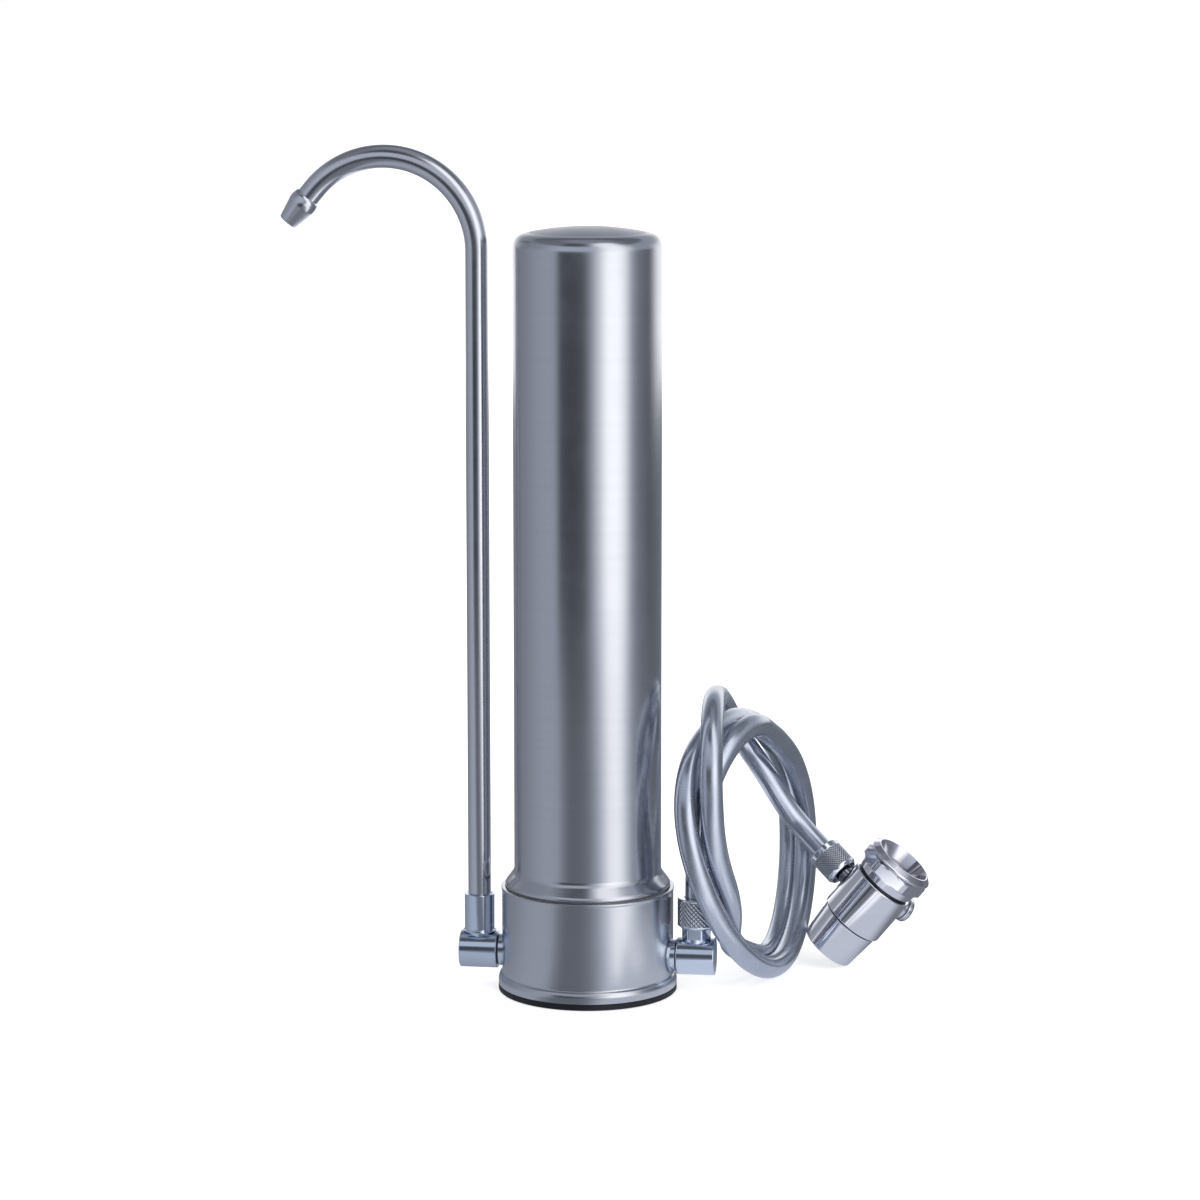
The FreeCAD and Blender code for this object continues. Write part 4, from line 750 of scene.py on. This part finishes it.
# %% Who wears what
WEARS = {
    "housing_skin": BRUSHED, "cup_skin": CUP, "gasket_skin": SEAL, "outlet_elbow_skin": FITTING,
    "inlet_elbow_skin": FITTING, "socket_skin": CHROME, "spout_skin": SATIN, "nozzle_skin": SATIN,
    "stub_skin": CHROME, "inlet_nut_skin": KNURLED, "sleeve_skin": VALVE_CHROME, "body_skin": VALVE_CHROME,
    "swivel_skin": VALVE_CHROME, "collar_skin": VALVE_CHROME, "port_skin": DARK_CHROME,
    "port_nut_skin": KNURLED, "gland_skin": VALVE_CHROME, "knob_skin": VALVE_CHROME,
}
NODE_WEARS = {
    "foot_pad": RUBBER, "base_manifold": WHITE, "base_screws": STEEL, "slip_ring": WHITE,
    "housing_thread_ring": STEEL, "candle_washer": SEAL, "candle_mount": WHITE, "ceramic_candle": CERAMIC,
    "carbon_core": CARBON, "outlet_seal": SEAL, "spout_orings": SEAL, "inlet_seal": SEAL,
    "inlet_olive": BRASS, "inlet_ferrule": BRASS, "valve_ferrule": BRASS, "valve_olive": BRASS,
    "aerator_insert": WHITE,
    "aerator_screen": STEEL, "diverter_spool": BRASS, "spool_seal": SEAL, "swivel_clip": BRASS,
    "faucet_washer": SEAL, "inlet_screen": STEEL,
}
for name, material in WEARS.items():
    pieces[name].data.materials.append(material)
hose_curve.materials.append(HOSE)
for name, material in NODE_WEARS.items():
    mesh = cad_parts[name].data
    mesh.materials.clear()
    mesh.materials.append(material)
print("finished:", len(WEARS), "new pieces, the hose and", len(NODE_WEARS), "solids")

# %% [markdown]

# %% [markdown]
# ## The studio
# A white table in a white room, with soft lamps. The white comes from what the camera sees and not from more
# light: the table and the room glow only for the rays that see a background, and the lamps and a dim room
# light the object. The glow is a little weaker near the object, so that its shadow stays.

# %% Table
TABLE_HALF, TABLE_LEVEL, TABLE_GREY = 40, -0.0004, 0.75
GLOW_NEAR, GLOW_FAR = (0.15, 0.7), (0.8, 1.0)


def sees_background(tree):
    """1 for the rays that see a background: straight on, in gloss and through glass."""
    path = add(tree, "ShaderNodeLightPath")
    seen = add(tree, "ShaderNodeMath", [
        (0, path.outputs["Is Camera Ray"]), (1, path.outputs["Is Glossy Ray"])], operation="MAXIMUM")
    return add(tree, "ShaderNodeMath", [(0, seen.outputs[0]), (1, path.outputs["Is Transmission Ray"])],
               operation="MAXIMUM").outputs[0]


floor_mesh = bpy.data.meshes.new("table")
floor_mesh.from_pydata([(x * TABLE_HALF, y * TABLE_HALF, TABLE_LEVEL)
                        for x, y in ((-1, -1), (1, -1), (1, 1), (-1, 1))], [], [(0, 1, 2, 3)])
floor = put("table", floor_mesh)
floor_paint, tree, paper = new_material("table")
paper.inputs["Base Color"].default_value = (TABLE_GREY, TABLE_GREY, TABLE_GREY, 1)
paper.inputs["Roughness"].default_value = 0.9
paper.inputs["Specular IOR Level"].default_value = 0.0
spread = add(tree, "ShaderNodeVectorMath", [(0, add(tree, "ShaderNodeTexCoord").outputs["Object"])],
             operation="LENGTH")
far = spread_over(tree, spread.outputs["Value"], GLOW_NEAR, GLOW_FAR, interpolation_type="SMOOTHSTEP")
strength = add(tree, "ShaderNodeMath", [(0, sees_background(tree)), (1, far)], operation="MULTIPLY")
glow = add(tree, "ShaderNodeEmission", [("Strength", strength.outputs[0])])
both = add(tree, "ShaderNodeAddShader", [(0, paper.outputs[0]), (1, glow.outputs[0])])
tree.links.new(both.outputs[0], tree.nodes["Material Output"].inputs["Surface"])
floor_mesh.materials.append(floor_paint)
print("table:", 2 * TABLE_HALF, "m wide")

# %% Room
ROOM_LIGHT = 0.35
world = bpy.data.worlds.new("studio")
bpy.context.scene.world = world
world.use_nodes = True
tree = world.node_tree
tree.nodes.clear()
level = spread_over(tree, sees_background(tree), (0.0, ROOM_LIGHT), (1.0, 1.0))
background = add(tree, "ShaderNodeBackground", [("Strength", level)], Color=(1, 1, 1, 1))
tree.links.new(background.outputs[0], add(tree, "ShaderNodeOutputWorld").inputs["Surface"])
print("room: lights the object at", ROOM_LIGHT)

# %% [markdown]
# ## The liner
# Polished metal shows whatever stands round it, and in an all-white room it would hardly show at all. So a
# liner stands round the table as the cards stand round a product in a studio: grey on the left, a dark gap,
# one bright cloth panel to the right of the camera, darker grey beyond it, and another bright panel behind.
# Only reflections see it. Real panels could be placed one by one, but a drum painted by bearing is one
# object, and its cards blend into each other softly.

# %% The liner's cards
LINER_R, LINER_TOP = 0.9, 1.1
CAMERA_BEARING = 8.05
# Each card is a bearing from the camera's side in degrees, positive to the right of it, and a brightness.
TABLE_CARDS = [(-180, 1.1), (-171, 0.9), (-163, 0.25), (-123, 0.31), (-102, 0.37), (-84, 0.45), (-68, 0.5),
               (-45, 0.5), (-38, 0.33), (-28, 0.2), (-8, 0.21), (2, 0.27), (10, 0.4), (18, 0.62), (26, 1.0),
               (34, 1.38), (46, 1.45), (54, 1.2), (62, 0.75), (72, 0.4), (90, 0.25), (134, 0.19),
               (162, 0.24), (171, 0.9), (180, 1.1)]
LOW_CARDS = [(-180, 1.2), (-171, 1.0), (-163, 0.25), (-123, 0.31), (-102, 0.37), (-84, 0.45), (-68, 0.49),
             (-50, 0.49), (-42, 0.08), (-28, 0.07), (-14, 0.08), (-4, 0.12), (6, 0.42), (20, 1.1),
             (30, 1.72), (48, 1.72), (60, 1.2), (70, 0.5), (82, 0.26), (109, 0.15), (134, 0.19), (162, 0.24),
             (171, 1.0), (180, 1.2)]
HIGH_CARDS = [(-180, 0.42), (-150, 0.34), (-110, 0.34), (-84, 0.38), (-62, 0.5), (-46, 0.6), (12, 0.6),
              (22, 1.1), (32, 1.5), (52, 1.5), (64, 1.0), (80, 0.45), (110, 0.42), (145, 0.46), (180, 0.42)]
CEILING_CARDS = [(-180, 0.16), (-60, 0.26), (-42, 0.1), (-2, 0.1), (12, 0.7), (22, 1.4), (56, 1.4),
                 (68, 0.5), (82, 0.22), (180, 0.16)]
CARD_TINT, TINT_UP_TO, TINT_FADE = (0.92, 0.985, 1.12), 0.6, 0.7


def card_colour(brightness):
    """Half the brightness in the room's cool tint, which fades out of the cards that are as bright as
    lamps."""
    fade = min(max((brightness - TINT_UP_TO) / TINT_FADE, 0.0), 1.0)
    return (*[brightness / 2 * (t + (1 - t) * fade) for t in CARD_TINT], 1)


print("cards:", [len(cards) for cards in (TABLE_CARDS, LOW_CARDS, HIGH_CARDS, CEILING_CARDS)])

# %% Helpers for the cards' nodes
def by_bearing(tree, cards):
    """A colour ramp over the bearing, atan2(x, -y), turned so that the camera's side is its middle."""
    place = add(tree, "ShaderNodeTexCoord").outputs["Object"]
    split = add(tree, "ShaderNodeSeparateXYZ", [("Vector", place)])
    toward = add(tree, "ShaderNodeMath", [(0, split.outputs["Y"])], operation="MULTIPLY")
    toward.inputs[1].default_value = -1.0
    bearing = add(tree, "ShaderNodeMath", [(0, split.outputs["X"]), (1, toward.outputs[0])],
                  operation="ARCTAN2")
    share = spread_over(tree, bearing.outputs[0], (-math.pi, -CAMERA_BEARING / 360),
                        (math.pi, 1 - CAMERA_BEARING / 360), clamp=False)
    share = add(tree, "ShaderNodeMath", [(0, share)], operation="WRAP")
    share.inputs[1].default_value, share.inputs[2].default_value = 1.0, 0.0
    colours = add(tree, "ShaderNodeValToRGB", [("Fac", share.outputs[0])])
    stops = colours.color_ramp.elements
    stops[0].position, stops[1].position = 0.0, 1.0
    for degrees, _ in cards[1:-1]:
        stops.new(degrees / 360 + 0.5)
    for stop, (_, brightness) in zip(stops, cards):
        stop.color = card_colour(brightness)
    return colours.outputs["Color"], split


def ease(tree, value, start, stop):
    """0 before start and 1 after stop, smooth between them."""
    return spread_over(tree, value, (start, 0.0), (stop, 1.0), interpolation_type="SMOOTHSTEP")


def away_from(tree, point):
    """The distance to a point."""
    node = add(tree, "ShaderNodeVectorMath", [(0, add(tree, "ShaderNodeTexCoord").outputs["Object"])],
               operation="DISTANCE")
    node.inputs[1].default_value = point
    return node.outputs["Value"]


def plain(tree, brightness):
    """A plain colour in the cards' tint."""
    node = add(tree, "ShaderNodeRGB")
    node.outputs[0].default_value = card_colour(brightness)
    return node.outputs[0]


def blend_colours(tree, share, first, second):
    """Colour first where share is 0 and second where it is 1."""
    mixed = add(tree, "ShaderNodeMix", [("Factor", share), (6, first), (7, second)], data_type="RGBA")
    return mixed.outputs[2]


def card_paint(name, build):
    """Light of the colour that build(tree) gives, at strength 2, because a ramp's colours stop at 1."""
    material, tree, shader = new_material(name)
    tree.nodes.remove(shader)
    glow = add(tree, "ShaderNodeEmission", [("Color", build(tree))], Strength=2.0)
    tree.links.new(glow.outputs[0], tree.nodes["Material Output"].inputs["Surface"])
    print("paint:", name)
    return material


# %% Paint for the liner's table
WHITE_CARD, WHITE_CARD_EDGE, WHITE_CARD_BRIGHTNESS = (0.115, -0.015, 0.0), (0.055, 0.085), 0.66
BRIGHT_SPOT, BRIGHT_SPOT_EDGE, BRIGHT_SPOT_BRIGHTNESS = (0.108, -0.048, 0.0), (0.008, 0.04), 1.1
GREY_CARD, GREY_CARD_EDGE, GREY_CARD_BRIGHTNESS = (0.046, -0.028, 0.0), (0.03, 0.048), 0.72


def table_paint(tree):
    """The table's cards, with a white card lying under the valve and a grey one before the inlet's elbow."""
    colour, _ = by_bearing(tree, TABLE_CARDS)
    white = blend_colours(tree, ease(tree, away_from(tree, BRIGHT_SPOT), *BRIGHT_SPOT_EDGE),
                          plain(tree, BRIGHT_SPOT_BRIGHTNESS), plain(tree, WHITE_CARD_BRIGHTNESS))
    colour = blend_colours(tree, ease(tree, away_from(tree, WHITE_CARD), *WHITE_CARD_EDGE), white, colour)
    return blend_colours(tree, ease(tree, away_from(tree, GREY_CARD), *GREY_CARD_EDGE),
                         plain(tree, GREY_CARD_BRIGHTNESS), colour)


liner_table = card_paint("liner_table", table_paint)

# %% Paint for the liner's wall
CHANGE = (0.32, 0.46)
BEHIND, STRIP_RISE, STRIP_FALL, STRIP_BRIGHTNESS = (0.35, 0.8), (0.14, 0.19), (0.3, 0.75), 1.3


def wall_paint(tree):
    """The low cards up to where they change, then the high cards, with a pale strip at the back that the dome
    mirrors."""
    low, split = by_bearing(tree, LOW_CARDS)
    high, _ = by_bearing(tree, HIGH_CARDS)
    colour = blend_colours(tree, ease(tree, split.outputs["Z"], *CHANGE), low, high)
    rise, fall = ease(tree, split.outputs["Z"], *STRIP_RISE), ease(tree, split.outputs["Z"], *STRIP_FALL)
    strip = add(tree, "ShaderNodeMath", [(0, rise), (1, fall)], operation="SUBTRACT")
    behind = ease(tree, split.outputs["Y"], *BEHIND)
    strip = add(tree, "ShaderNodeMath", [(0, strip.outputs[0]), (1, behind)], operation="MULTIPLY")
    return blend_colours(tree, strip.outputs[0], colour, plain(tree, STRIP_BRIGHTNESS))


liner_wall = card_paint("liner_wall", wall_paint)

# %% Paint for the liner's ceiling
OVERHEAD, OVERHEAD_BRIGHTNESS = (0.2, 0.4), 0.34


def ceiling_paint(tree):
    """The ceiling's cards, darker straight overhead."""
    colour, _ = by_bearing(tree, CEILING_CARDS)
    return blend_colours(tree, ease(tree, away_from(tree, (0, 0, LINER_TOP)), *OVERHEAD),
                         plain(tree, OVERHEAD_BRIGHTNESS), colour)


liner_ceiling = card_paint("liner_ceiling", ceiling_paint)

# %% Liner
LINER_SIDES, LINER_LEVEL = 96, -0.0002
angle = np.linspace(0, 2 * math.pi, LINER_SIDES, endpoint=False)
rings = [np.stack([LINER_R * np.cos(angle), LINER_R * np.sin(angle), z + 0 * angle], -1)
         for z in (LINER_LEVEL, LINER_TOP)]
here = np.arange(LINER_SIDES)
there = np.roll(here, -1)
walls = np.stack([here + LINER_SIDES, there + LINER_SIDES, there, here], 1).tolist()
liner_mesh = bpy.data.meshes.new("liner")
liner_mesh.from_pydata(np.vstack(rings).tolist(), [],
                       [here.tolist()] + walls + [(here[::-1] + LINER_SIDES).tolist()])
for paint in (liner_table, liner_wall, liner_ceiling):
    liner_mesh.materials.append(paint)
liner_mesh.polygons.foreach_set("material_index", [0] + [1] * LINER_SIDES + [2])
liner = put("liner", liner_mesh)
liner.visible_camera = liner.visible_diffuse = liner.visible_shadow = liner.visible_transmission = False
print("liner:", len(liner_mesh.polygons), "faces")

# %% [markdown]
# ## Lamps
# Three soft panels, at the level at which a colour renders about as it is written. They light what is dull,
# such as the rubber foot and the candle, and reflections leave them out, because the liner has its own bright
# cards.

# %% Lamps
def panel_light(name, place, target, size, watts):
    """A rectangle of light at a place, turned towards a target."""
    light = bpy.data.lights.new(name, "AREA")
    light.shape = "RECTANGLE"
    light.size, light.size_y = size
    light.energy = watts
    lamp = put(name, light)
    lamp.location = place
    lamp.rotation_euler = (Vector(target) - Vector(place)).to_track_quat("-Z", "Y").to_euler()
    lamp.visible_glossy = False
    print("lamp:", name, watts, "W")


panel_light("key", (1.1, -1.4, 1.3), (0, 0, 0.15), (1.0, 1.2), 14)
panel_light("fill", (-1.6, -0.8, 0.9), (0, 0, 0.15), (1.0, 1.0), 5)
panel_light("above", (0, 0.2, 1.8), (0, 0, 0), (1.6, 1.2), 9)
